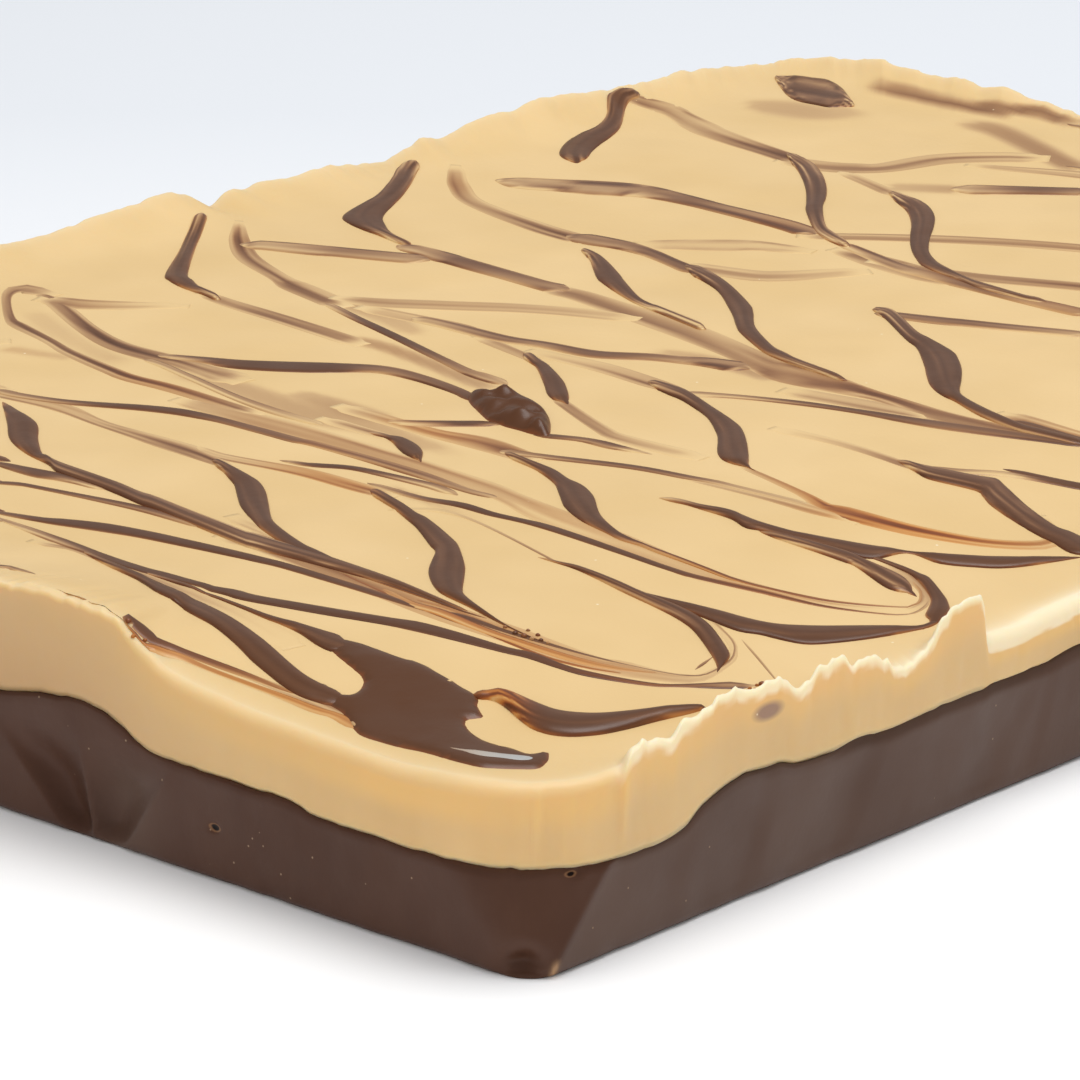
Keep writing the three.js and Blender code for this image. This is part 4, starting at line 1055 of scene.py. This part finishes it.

# Strips of painted sheen, a pale grey reflection painted as colour, on the rolled edge of the pool and on the curl
# beside it.
POOL_PAINTED_SHEEN = [
    (350, (720, 725), 0.3), (362, (727, 732), 0.3), (380, (731.5, 737), 0.32), (400, (736, 741.5), 0.36),
    (420, (741.5, 746.5), 0.45), (440, (746, 751.5), 0.5), (460, (750, 757), 0.4, 0.4),
    (480, (753, 761), 0.3, 0.7), (500, (755.5, 763), 0.25, 0.9), (520, (757.5, 765), 0.2, 1),
    (533, (758.5, 764.5), 0.2, 1), (540, (758.5, 762), 0.3, 0.9),
]
CURL_PAINTED_SHEEN = [
    (520, (702, 705), 0.6, 0.6), (528, (704, 711), 0.5, 0.8), (536, (706.5, 714), 0.5, 0.8),
    (544, (709.5, 715), 0.5, 0.8), (552, (712, 715), 0.6, 0.6),
]

# The pool's outline, and the lump's.
POOL = [
    (345, 640), (360, 643.5), (380, 650), (400, 657), (420, 663), (432, 669), (444, 676), (456, 683), (467, 690),
    (476, 695), (479, 700), (478, 706), (481, 712), (484, 717.5), (476, 719), (467, 720.5), (466, 725),
    (470, 731), (478, 737), (488, 742), (502, 746), (516, 750), (530, 754.5), (541, 752), (546, 749), (549.5, 753),
    (549.5, 759), (545.5, 764.5), (538, 769), (520, 769.5), (500, 769), (480, 767.5), (460, 763), (440, 757.5),
    (420, 752), (400, 748), (380, 742.5), (368, 739), (359, 735), (352, 728), (346, 719), (338, 711), (322, 702),
    (314, 695), (322, 683), (335, 691.5), (342, 694), (350, 695), (358, 691), (363, 683), (360, 676),
    (350, 667), (340, 659), (330, 650), (322, 642), (331, 637),
]
LUMP = [
    (468, 397), (480, 396), (490, 394), (500, 392), (510, 393), (520, 396), (530, 400), (540, 406), (546, 412),
    (550, 420), (551, 428), (549, 437), (540, 436), (530, 434), (520, 431), (505, 427), (495, 423), (488, 421),
    (482, 416), (476, 410), (470, 404),
]
CURL = [
    (472, (692, 700), 0.9, 0.3), (480, (693, 700), 0.8, 0.5), (488, (693, 700), 0.7, 0.8), (498, (692.5, 703), 0.74, 0.9),
    (508, (693.5, 710), 0.76, 0.9), (518, (697, 719), 0.8, 0.7), (530, (702, 728), 0.9, 0.4), (542, (707, 733), 1, 0.15),
    (556, (712, 736), 1), (575, (715, 737), 1), (600, (716, 735), 1), (630, (714, 729), 1), (660, (711, 721), 1),
    (690, (707.5, 714), 1), (706, (706, 709.5), 0.9),
]

# Crumbs of chocolate by a stroke's end, and orange brown bits on the torn rim: x, y and the
# crumb's half width in millimetres, then its chocolate and orange.
CRUMBS = [
    (505, 628, 0.3, 0.6, 0.3), (515, 634, 0.35, 0.9, 0.1), (524, 637, 0.4, 0.75, 0.4), (532, 640, 0.35, 0.4, 0.2),
    (541, 641, 0.3, 0.9, 0.2), (548, 644, 0.25, 0.5, 0.3), (538, 636, 0.3, 0.8, 0.5), (528, 631, 0.25, 0.6, 0.2),
    (755, 691, 0.35, 0.7, 0.8), (762, 685, 0.4, 0.8, 0.7), (766, 689, 0.3, 0.6, 0.9), (757, 686, 0.25, 0.7, 0.8),
    (770, 683, 0.3, 0.7, 0.6), (750, 689, 0.25, 0.6, 0.7), (208, 608, 0.3, 0.05, 0), (449, 683, 0.35, 0.1, 0),
    (128, 622, 0.4, 0.8, 0.5), (133, 637, 0.3, 0.6, 0.9), (145, 641, 0.3, 0.7, 0.8),
]

# Where the strokes go on past the part that the photo shows. A place holds x and y in
# millimetres, the stroke's width, the chocolate and the orange.
LONGER_LINES = [
    [(18, 172, 0.8, 0.5, 0), (21, 152, 1.6, 0.9, 0), (26, 132, 1.8, 0.9, 0), (29.6, 118, 1.6, 0.8, 0)],
    [(9, 160, 0.8, 0.5, 0), (14, 146, 1.4, 0.8, 0), (22, 128, 1.5, 0.7, 0), (26.5, 114, 1.6, 0.5, 0)],
    [(33, 184, 0.8, 0.6, 0), (31, 166, 1.4, 0.9, 0), (36, 145, 1.5, 0.9, 0), (38.6, 127, 1.6, 0.85, 0)],
    [(49, 193, 1.2, 0.6, 0), (43, 181, 2.4, 0.9, 0), (41, 166, 2.6, 0.95, 0), (44, 149, 2.4, 0.9, 0),
     (46, 134.5, 2.4, 0.85, 0)],
    [(148.5, 38, 1.6, 0.9, 0.2), (150, 27, 1.8, 0.95, 0.2), (155, 17, 1.8, 0.95, 0.1), (163, 10.5, 1.4, 0.9, 0)],
    [(149, 46, 1.8, 0.85, 0), (149, 34, 1.6, 0.9, 0), (153, 22, 1.4, 0.9, 0), (159, 14.5, 1, 0.8, 0)],
    [(190, 68, 1.6, 0.8, 0), (190, 52, 1.8, 0.9, 0), (189, 36, 2, 0.95, 0), (193, 22, 1.8, 0.9, 0),
     (201, 12, 1.2, 0.8, 0)],
    [(199, 74, 1.8, 0.7, 0.1), (200, 58, 1.6, 0.8, 0.2), (197, 40, 1.6, 0.9, 0.2), (199, 26, 1.4, 0.9, 0.1),
     (204, 17, 1, 0.7, 0)],
    [(131.5, 34, 1.4, 0.9, 0), (134, 25, 2, 0.95, 0), (139, 16, 2.2, 1, 0), (147, 10, 2, 1, 0), (154, 8.5, 1, 0.9, 0)],
    [(259, 119, 1.4, 0.7, 0), (262, 104, 1.8, 0.85, 0), (261, 86, 2, 0.9, 0), (256, 66, 1.8, 0.9, 0),
     (255, 48, 1.6, 0.8, 0), (258, 32, 1.2, 0.6, 0)],
    [(271, 128, 1.6, 0.6, 0), (272, 112, 2, 0.8, 0), (278, 94, 2.2, 0.95, 0), (279, 74, 2, 0.9, 0),
     (275, 54, 1.8, 0.9, 0), (277, 34, 1.6, 0.8, 0), (283, 18, 1, 0.6, 0)],
    [(294, 145, 1.6, 0.6, 0), (292, 126, 1.8, 0.8, 0), (287, 104, 1.8, 0.9, 0), (288, 82, 1.6, 0.8, 0),
     (291, 60, 1.4, 0.6, 0)],
]
LONGER_VEILS = [
    [(53, 200, 3, 0.4, 0), (61, 188, 5, 0.5, 0), (67, 174, 5, 0.5, 0), (68.5, 160, 4, 0.5, 0)],
    [(84, 178, 4, 0.3, 0.3), (70, 190, 5, 0.25, 0.3), (58, 199, 4, 0.1, 0.3)],
    [(203, 112, 4, 0.4, 0), (206, 96, 5, 0.45, 0), (212, 80, 5, 0.5, 0.1), (216, 60, 5, 0.45, 0.2),
     (213, 40, 4, 0.4, 0.2), (214, 26, 3, 0.3, 0.2)],
    [(209, 130, 4, 0.4, 0), (222, 112, 5, 0.4, 0), (231, 92, 5, 0.45, 0.1), (233, 70, 5, 0.45, 0.1),
     (230, 46, 4, 0.4, 0.2), (232, 28, 3, 0.3, 0.2)],
    [(262, 139, 3, 0.3, 0), (268, 122, 5, 0.4, 0), (270, 100, 5, 0.45, 0), (267, 76, 5, 0.5, 0.1),
     (264, 50, 4, 0.4, 0.2), (266, 30, 3, 0.3, 0.2)],
    [(150, 48, 5, 0.5, 0.1), (150, 36, 4, 0.45, 0.3), (154, 24, 3, 0.4, 0.4), (162, 14, 2, 0.3, 0.3)],
]

WAVE_POINTS, LINE_POINTS, VEIL_POINTS = 13, 7, 9
WAVE_STEP, LINE_STEP, VEIL_STEP = 0.9, 1.2, 1.5
WAVE_RISE, LINE_RISE, VEIL_RISE = 0.5, 0.2, 0.05
SUNK = 0.05
DEPTH = 0.35
PHOTO_SIZE = 1080


def on_top(pixels):
    """The places on the fudge's top that pixels of the photo show."""
    turn = np.array(CAMERA.rotation_euler.to_matrix())
    focal = CAMERA.data.lens / CAMERA.data.sensor_width * PHOTO_SIZE
    x, y = np.array(pixels, float).T
    ways = np.stack([x - PHOTO_SIZE / 2, PHOTO_SIZE / 2 - y, np.full(len(x), -focal)], 1) @ turn.T
    eye = np.array(CAMERA.location) * METRE + (LENGTH / 2, WIDTH / 2, 0)
    level, damping, rounds = 24.0, 0.7, 22
    reach = (level - eye[2]) / ways[:, 2]
    for _ in range(rounds):
        at = eye + ways * reach[:, None]
        height = top(np.maximum(at[:, 0], 0.3), np.maximum(at[:, 1], 0.3))
        reach = reach + damping * (height - at[:, 2]) / ways[:, 2]
    return at[:, :2]


def banked(rows):
    """A path from a stroke's rows: x, y, the way from its middle to its left bank, chocolate and orange."""
    banks = np.array([np.broadcast_arrays(row[0], row[1]) for row in rows], float)
    left, right = np.split(on_top(np.concatenate([banks[:, :, 0], banks[:, :, 1]])), 2)
    look = [(row[2], row[3] if len(row) > 3 else 0.0) for row in rows]
    return np.concatenate([(left + right) / 2, (left - right) / 2, look], 1)


def ahead(path):
    """The way ahead at each place of a path, one long."""
    way = np.gradient(path[:, :2], axis=0)
    return way / np.maximum(np.hypot(*way.T), 1e-6)[:, None]


def with_widths(path):
    """Turns the ways to the left bank into widths square to the path."""
    way = ahead(path)
    width = 2 * np.abs(path[:, 2] * way[:, 1] - path[:, 3] * way[:, 0])
    return np.concatenate([path[:, :2], width[:, None], path[:, 4:]], 1)


def with_banks(path):
    """Turns the widths along a path into ways from its middle to its left bank."""
    way = ahead(path)
    bank = np.stack([-way[:, 1], way[:, 0]], 1) * path[:, 2:3] / 2
    return np.concatenate([path[:, :2], bank, path[:, 3:]], 1)


def drawn_out(path, reach, step):
    """A path that goes on straight for a while at both ends."""
    stops = np.arange(step, reach + step / 2, step)[:, None]
    sides = []
    for end, before in ((path[0], path[2]), (path[-1], path[-3])):
        way = (end[:2] - before[:2]) / max(np.hypot(*(end[:2] - before[:2])), 1e-6)
        side = np.repeat(end[None], len(stops), 0)
        side[:, :2] += way * stops
        sides.append(side)
    return np.concatenate([sides[0][::-1], path, sides[1]])


def ribbon(shell, path, points, rise, look, blunt=1.0, narrowest=0.03, fade=0.0, margin=1.5, extra=None,
           reach=0.0):
    """One stroke: a low rounded strip on the fudge's top, closed underneath."""
    if reach:
        path = drawn_out(path, reach, 0.8)
    run = np.concatenate([[0], np.cumsum(np.hypot(*np.diff(path[:, :2], axis=0).T))])
    half = np.hypot(path[:, 2], path[:, 3])
    from_end = np.minimum(run, run[-1] - run)
    taper = np.clip(from_end / np.maximum(np.maximum(half, 0.6) * blunt, reach), narrowest, 1) ** 0.6
    angle = np.linspace(-np.pi / 2, np.pi / 2, points)
    across, body = np.sin(angle), np.cos(angle)
    x = path[:, :1] + across * (path[:, 2] * taper)[:, None]
    y = path[:, 1:2] + across * (path[:, 3] * taper)[:, None]
    x, y = np.clip(x, margin, LENGTH - margin), np.clip(y, margin, WIDTH - margin)
    side = across * (half * taper)[:, None]
    full = np.minimum(1, half * taper / 1.4)[:, None]
    cocoa, amber = look(path, side, (half * taper)[:, None], body, run[:, None])
    if fade:
        cocoa = cocoa * ease(from_end / fade)[:, None]
    z = top(x, y) + rise * full * body ** 0.8 - SUNK * (body < 0.01)
    values = {"cocoa": cocoa, "amber": amber}
    if extra:
        values[extra[0]] = np.broadcast_to(extra[1](path, body), x.shape)
    rows = shell.add(x, y, z, **{name: value.ravel() for name, value in values.items()}).reshape(x.shape)
    left = shell.add(x[:, -1], y[:, -1], z[:, -1] - DEPTH, **{name: value[:, -1] for name, value in values.items()})
    right = shell.add(x[:, 0], y[:, 0], z[:, 0] - DEPTH, **{name: value[:, 0] for name, value in values.items()})
    rings = np.concatenate([rows, left[:, None], right[:, None]], 1)
    for low, high in zip(rings.T, np.roll(rings.T, -1, 0)):
        shell.strip(low, high)
    shell.faces += [rings[0].tolist(), rings[-1][::-1].tolist()]


def streaked(cocoa, side, run, seed):
    """Parallel streaks along a stroke, strongest where there is less chocolate in it."""
    streaks = noise(side / 0.42 + seed, run / 45, seed) + 0.5 * noise(side / 0.2, run / 25, seed + 1)
    return np.clip(cocoa + 2.2 * cocoa * (1 - cocoa) * streaks, 0, 1)


def wave_look(path, side, half, body, run):
    edge = np.clip(1 - (half - np.abs(side)) / 0.3, 0, 1)
    cocoa = path[:, 4:5] * (0.96 - 0.1 * edge) - 0.05 * np.clip(noise(side / 1.2, run / 9, 21), 0, 1)
    return streaked(cocoa, side, run, 24), np.clip(path[:, 5:6] + 0.6 * edge, 0, 1)


def line_look(path, side, half, body, run):
    cocoa = path[:, 4:5] * (0.5 + 0.5 * np.minimum(1, body / 0.6))
    return streaked(cocoa, side, run, 26), np.clip(path[:, 5:6] + 0.25 * (1 - body), 0, 1)


def veil_look(path, side, half, body, run):
    streaks = 1 + 0.7 * noise(side / 0.5 + path[0, 0], run / 35, 22) + 0.3 * noise(side / 0.3, run / 18, 23)
    return path[:, 4:5] * body ** 0.8 * np.clip(streaks, 0.3, 1.5), path[:, 5:6] + 0 * side


def runs(path, keep):
    """The stretches of a path where keep holds."""
    breaks = np.flatnonzero(np.diff(np.concatenate([[0], keep, [0]])))
    return [path[a:b] for a, b in zip(breaks[::2], breaks[1::2]) if b - a > 5]


def on_slab(path, margin=4.0):
    x, y = path[:, 0], path[:, 1]
    return (x > margin) & (x < LENGTH - margin) & (y > margin) & (y < WIDTH - margin)


def past_right(path, seed):
    x, y = path[:, 0], path[:, 1]
    return on_slab(path) & (y < 0.74 * (x - 111) - 4 * noise(x / 14, y / 14, seed))


def past_left(path, seed):
    x, y = path[:, 0], path[:, 1]
    return on_slab(path) & (y > 98 + 1.076 * x + 4 * noise(x / 14, y / 14, seed))


# The same pattern goes on where the photo ends. Each way moves it there.
MORE_RIGHT = ((101, 0), (167, -2))
MORE_LEFT = ((-49, 2), (-88, -1))


def carried_on(shown):
    """The strokes that show in the photo, then the ones that carry the pattern on."""
    more = []
    for ways, keep in ((MORE_RIGHT, past_right), (MORE_LEFT, past_left)):
        for dx, dy in ways:
            for k, path in enumerate(shown):
                moved = path + np.array([dx, dy, 0, 0, 0, 0])
                more += runs(moved, keep(moved, 40 + k))
    return shown + more


def broad_strokes(rows, step):
    return carried_on([smooth_path(banked(stroke), step) for stroke in rows])


def fine_strokes(rows, longer, step):
    places = [with_widths(banked(stroke)) for stroke in rows] + longer
    return carried_on([with_banks(smooth_path(stroke, step)) for stroke in places])


def shade(x, y):
    """How much chocolate tints the fudge at places on its top, and how orange it looks there."""
    cocoa, amber = np.zeros(len(x)), np.zeros(len(x))
    for path in fine_strokes(SHADES, [], 1.0):
        half = np.maximum(np.hypot(path[:, 2], path[:, 3]), 0.5)
        reach = half.max() * 1.2
        low, high = path[:, :2].min(0) - reach, path[:, :2].max(0) + reach
        near = np.flatnonzero((x > low[0]) & (x < high[0]) & (y > low[1]) & (y < high[1]))
        away = np.hypot(x[near, None] - path[:, 0], y[near, None] - path[:, 1])
        best = away.argmin(1)
        share = away[np.arange(len(near)), best] / half[best]
        run = np.arange(len(path)) / len(path)
        ends = ease(np.minimum(run, 1 - run) * 6)
        value = path[best, 4] * ends[best] * ease(1.25 - share)
        cocoa[near] = 1 - (1 - cocoa[near]) * (1 - value)
        amber[near] = np.maximum(amber[near], path[best, 5] * (value > 0.05))
    return cocoa, amber


def blob(shell, outline, height, lift, spacing, cocoa, amber):
    """A closed patch of chocolate with a rounded edge."""
    ring_path = smooth_path(on_top(outline), spacing, closed=True)
    low, high = ring_path.min(0), ring_path.max(0)
    grid_x, grid_y = np.meshgrid(np.arange(low[0], high[0], spacing), np.arange(low[1], high[1], spacing))
    x, y = grid_x.ravel(), grid_y.ravel()
    x = x + 0.2 * spacing * noise(x * 3, y * 3, 31)
    keep = inside(x, y, ring_path)
    x, y = x[keep], y[keep]
    away = distance_to(x, y, ring_path)
    keep = away > 0.3 * spacing
    x, y, away = x[keep], y[keep], away[keep]
    ring = shell.add(ring_path[:, 0], ring_path[:, 1], top(*ring_path.T) - SUNK, cocoa=0.8, amber=0.7)
    edge = np.clip(1 - away / 0.35, 0, 1)
    rounded = 1 - np.exp(-away / height)
    middle = shell.add(x, y, top(x, y) + lift(x, y) * rounded, cocoa=cocoa - 0.2 * edge,
                       amber=np.clip(amber + 0.6 * edge, 0, 1))
    shell.faces += shell.fill(ring, middle).tolist()
    under = shell.add(ring_path[:, 0], ring_path[:, 1], top(*ring_path.T) - DEPTH, cocoa=0.8, amber=0.7)
    shell.band(under, ring)
    shell.faces += shell.fill(under, under[:0], up=False).tolist()


def crumb(shell, x, y, size, cocoa, amber, seed):
    """A small rough grain that is half sunk in the top."""
    around = np.linspace(0, 2 * np.pi, 9)[:-1]
    rings = []
    for k, tilt in enumerate(np.linspace(-1.2, 1.2, 5)):
        reach = size * math.cos(tilt) * (1 + 0.3 * noise(around * 1.3 + k, tilt * 2, seed))
        z = float(top(x, y)) + size * (0.35 + 0.8 * math.sin(tilt))
        rings.append(shell.add(x + reach * np.cos(around), y + reach * np.sin(around), z, cocoa=cocoa, amber=amber))
    for low, high in zip(rings[:-1], rings[1:]):
        shell.band(low, high)
    shell.faces += [rings[0][::-1].tolist(), rings[-1].tolist()]


def marbling(fudge, swirl):
    waves = Shell("cocoa", "amber", "sheen")
    for path in broad_strokes(WAVES, WAVE_STEP):
        ribbon(waves, path, WAVE_POINTS, WAVE_RISE, wave_look, reach=2.0)
    ribbon(waves, smooth_path(banked(CURL), 0.6), 17, 1.0, wave_look)
    waves.object("marbling_waves", swirl, sharp=70)

    pool = Shell("cocoa", "amber", "sheen")
    pool_lift = 0.5
    blob(pool, POOL, 0.6, lambda x, y: pool_lift + 0.05 * noise(x / 3, y / 3, 32), 0.7, 1.0, 0.0)
    blob(pool, LUMP, 1.2, lambda x, y: 1.9 + 0.9 * noise(x / 2.2, y / 2.2, 33), 0.55, 1.0, 0.0)
    # These strips carry the painted sheen: pale grey painted into their colour in place of a reflection.
    for rows, lift in ((POOL_PAINTED_SHEEN, pool_lift + 0.12), (CURL_PAINTED_SHEEN, 1.0)):
        sheen = smooth_path(banked(rows), 0.5)
        ribbon(pool, sheen, 7, lift, lambda path, side, half, body, run: (path[:, 4:5] + 0 * side, 0 * side),
               extra=("sheen", lambda path, body: path[:, 5:6]))
    pool.object("marbling_pool", swirl, sharp=70)

    lines = Shell("cocoa", "amber", "sheen")
    for path in fine_strokes(LINES, LONGER_LINES, LINE_STEP):
        ribbon(lines, path, LINE_POINTS, LINE_RISE, line_look, reach=2.0)
    places = on_top([row[:2] for row in CRUMBS])
    for k, ((x, y), row) in enumerate(zip(places, CRUMBS)):
        crumb(lines, x, y, *row[2:], k)
    lines.object("marbling_lines", swirl, sharp=70)

    veils = Shell("wall", "glow", "pale", "soft", "cocoa", "amber")
    for k, path in enumerate(fine_strokes(VEILS, LONGER_VEILS, VEIL_STEP)):
        ribbon(veils, path, VEIL_POINTS, VEIL_RISE + 0.004 * (k % 9), veil_look, narrowest=0.5, fade=5.0,
               margin=3.0, reach=3.0)
    veils.object("marbling_veils", fudge)


# ---- Stage and light ----------------------------------------------------------------------

def add_floor():
    """A plain white floor with painted shade: its colour turns a little greyer behind the slab, where light falls off,
    as a studio sweep does.
    """
    mesh = bpy.data.meshes.new("floor")
    size = 6.0
    corners = [(-size, -size, 0), (size, -size, 0), (size, size, 0), (-size, size, 0)]
    mesh.from_pydata(corners, [], [(0, 1, 2, 3)])
    m = Material("pale_floor")
    behind = m.node("ShaderNodeVectorMath", operation="DOT_PRODUCT")
    m.link(m.place, behind.inputs[0])
    behind.inputs[1].default_value = (math.cos(HEADING), math.sin(HEADING), 0)
    # Painted shade: the colour greys behind the slab, where light falls off.
    painted_falloff = m.between(behind.outputs["Value"], -0.12, 0.25)
    m.set(Base_Color=m.mix(painted_falloff, linear(251, 251, 251), linear(221, 224, 228)), Roughness=0.6,
          Specular_IOR_Level=0.2)
    mesh.materials.append(m.material)
    floor = bpy.data.objects.new("floor", mesh)
    bpy.context.scene.collection.objects.link(floor)


def add_light(name, place_at, size, power, colour, reflected=True):
    """A soft box that faces the slab. One that isn't reflected gives light but no highlights."""
    data = bpy.data.lights.new(name, "AREA")
    data.shape = "RECTANGLE"
    data.size, data.size_y = size
    data.energy = power
    data.color = colour
    light = bpy.data.objects.new(name, data)
    light.location = place_at
    light.rotation_euler = (-Vector(place_at)).to_track_quat("-Z", "Y").to_euler()
    light.visible_glossy = reflected
    bpy.context.scene.collection.objects.link(light)


def add_world():
    world = bpy.data.worlds.new("studio")
    world.use_nodes = True
    background = world.node_tree.nodes["Background"]
    background.inputs["Color"].default_value = (0.97, 0.98, 1.0, 1)
    background.inputs["Strength"].default_value = 0.68
    world.cycles_visibility.glossy = False
    bpy.context.scene.world = world


add_floor()
add_world()
add_light("key", (0.2, -0.12, 1.1), (0.8, 0.8), 8.4, (0.98, 0.99, 1.0))
add_light("left_fill", (-1.1, -0.5, 0.5), (1.0, 0.7), 2.5, (1.0, 0.94, 0.88), reflected=False)
add_light("back_panel", (1.3, 1.15, 0.5), (3.0, 0.9), 2.6, (1.0, 0.97, 0.94))
bpy.context.scene.view_settings.view_transform = "Standard"

FUDGE = fudge_material()
SWIRL = swirl_material()
chocolate_base()
peanut_fudge(FUDGE)
marbling(FUDGE, SWIRL)
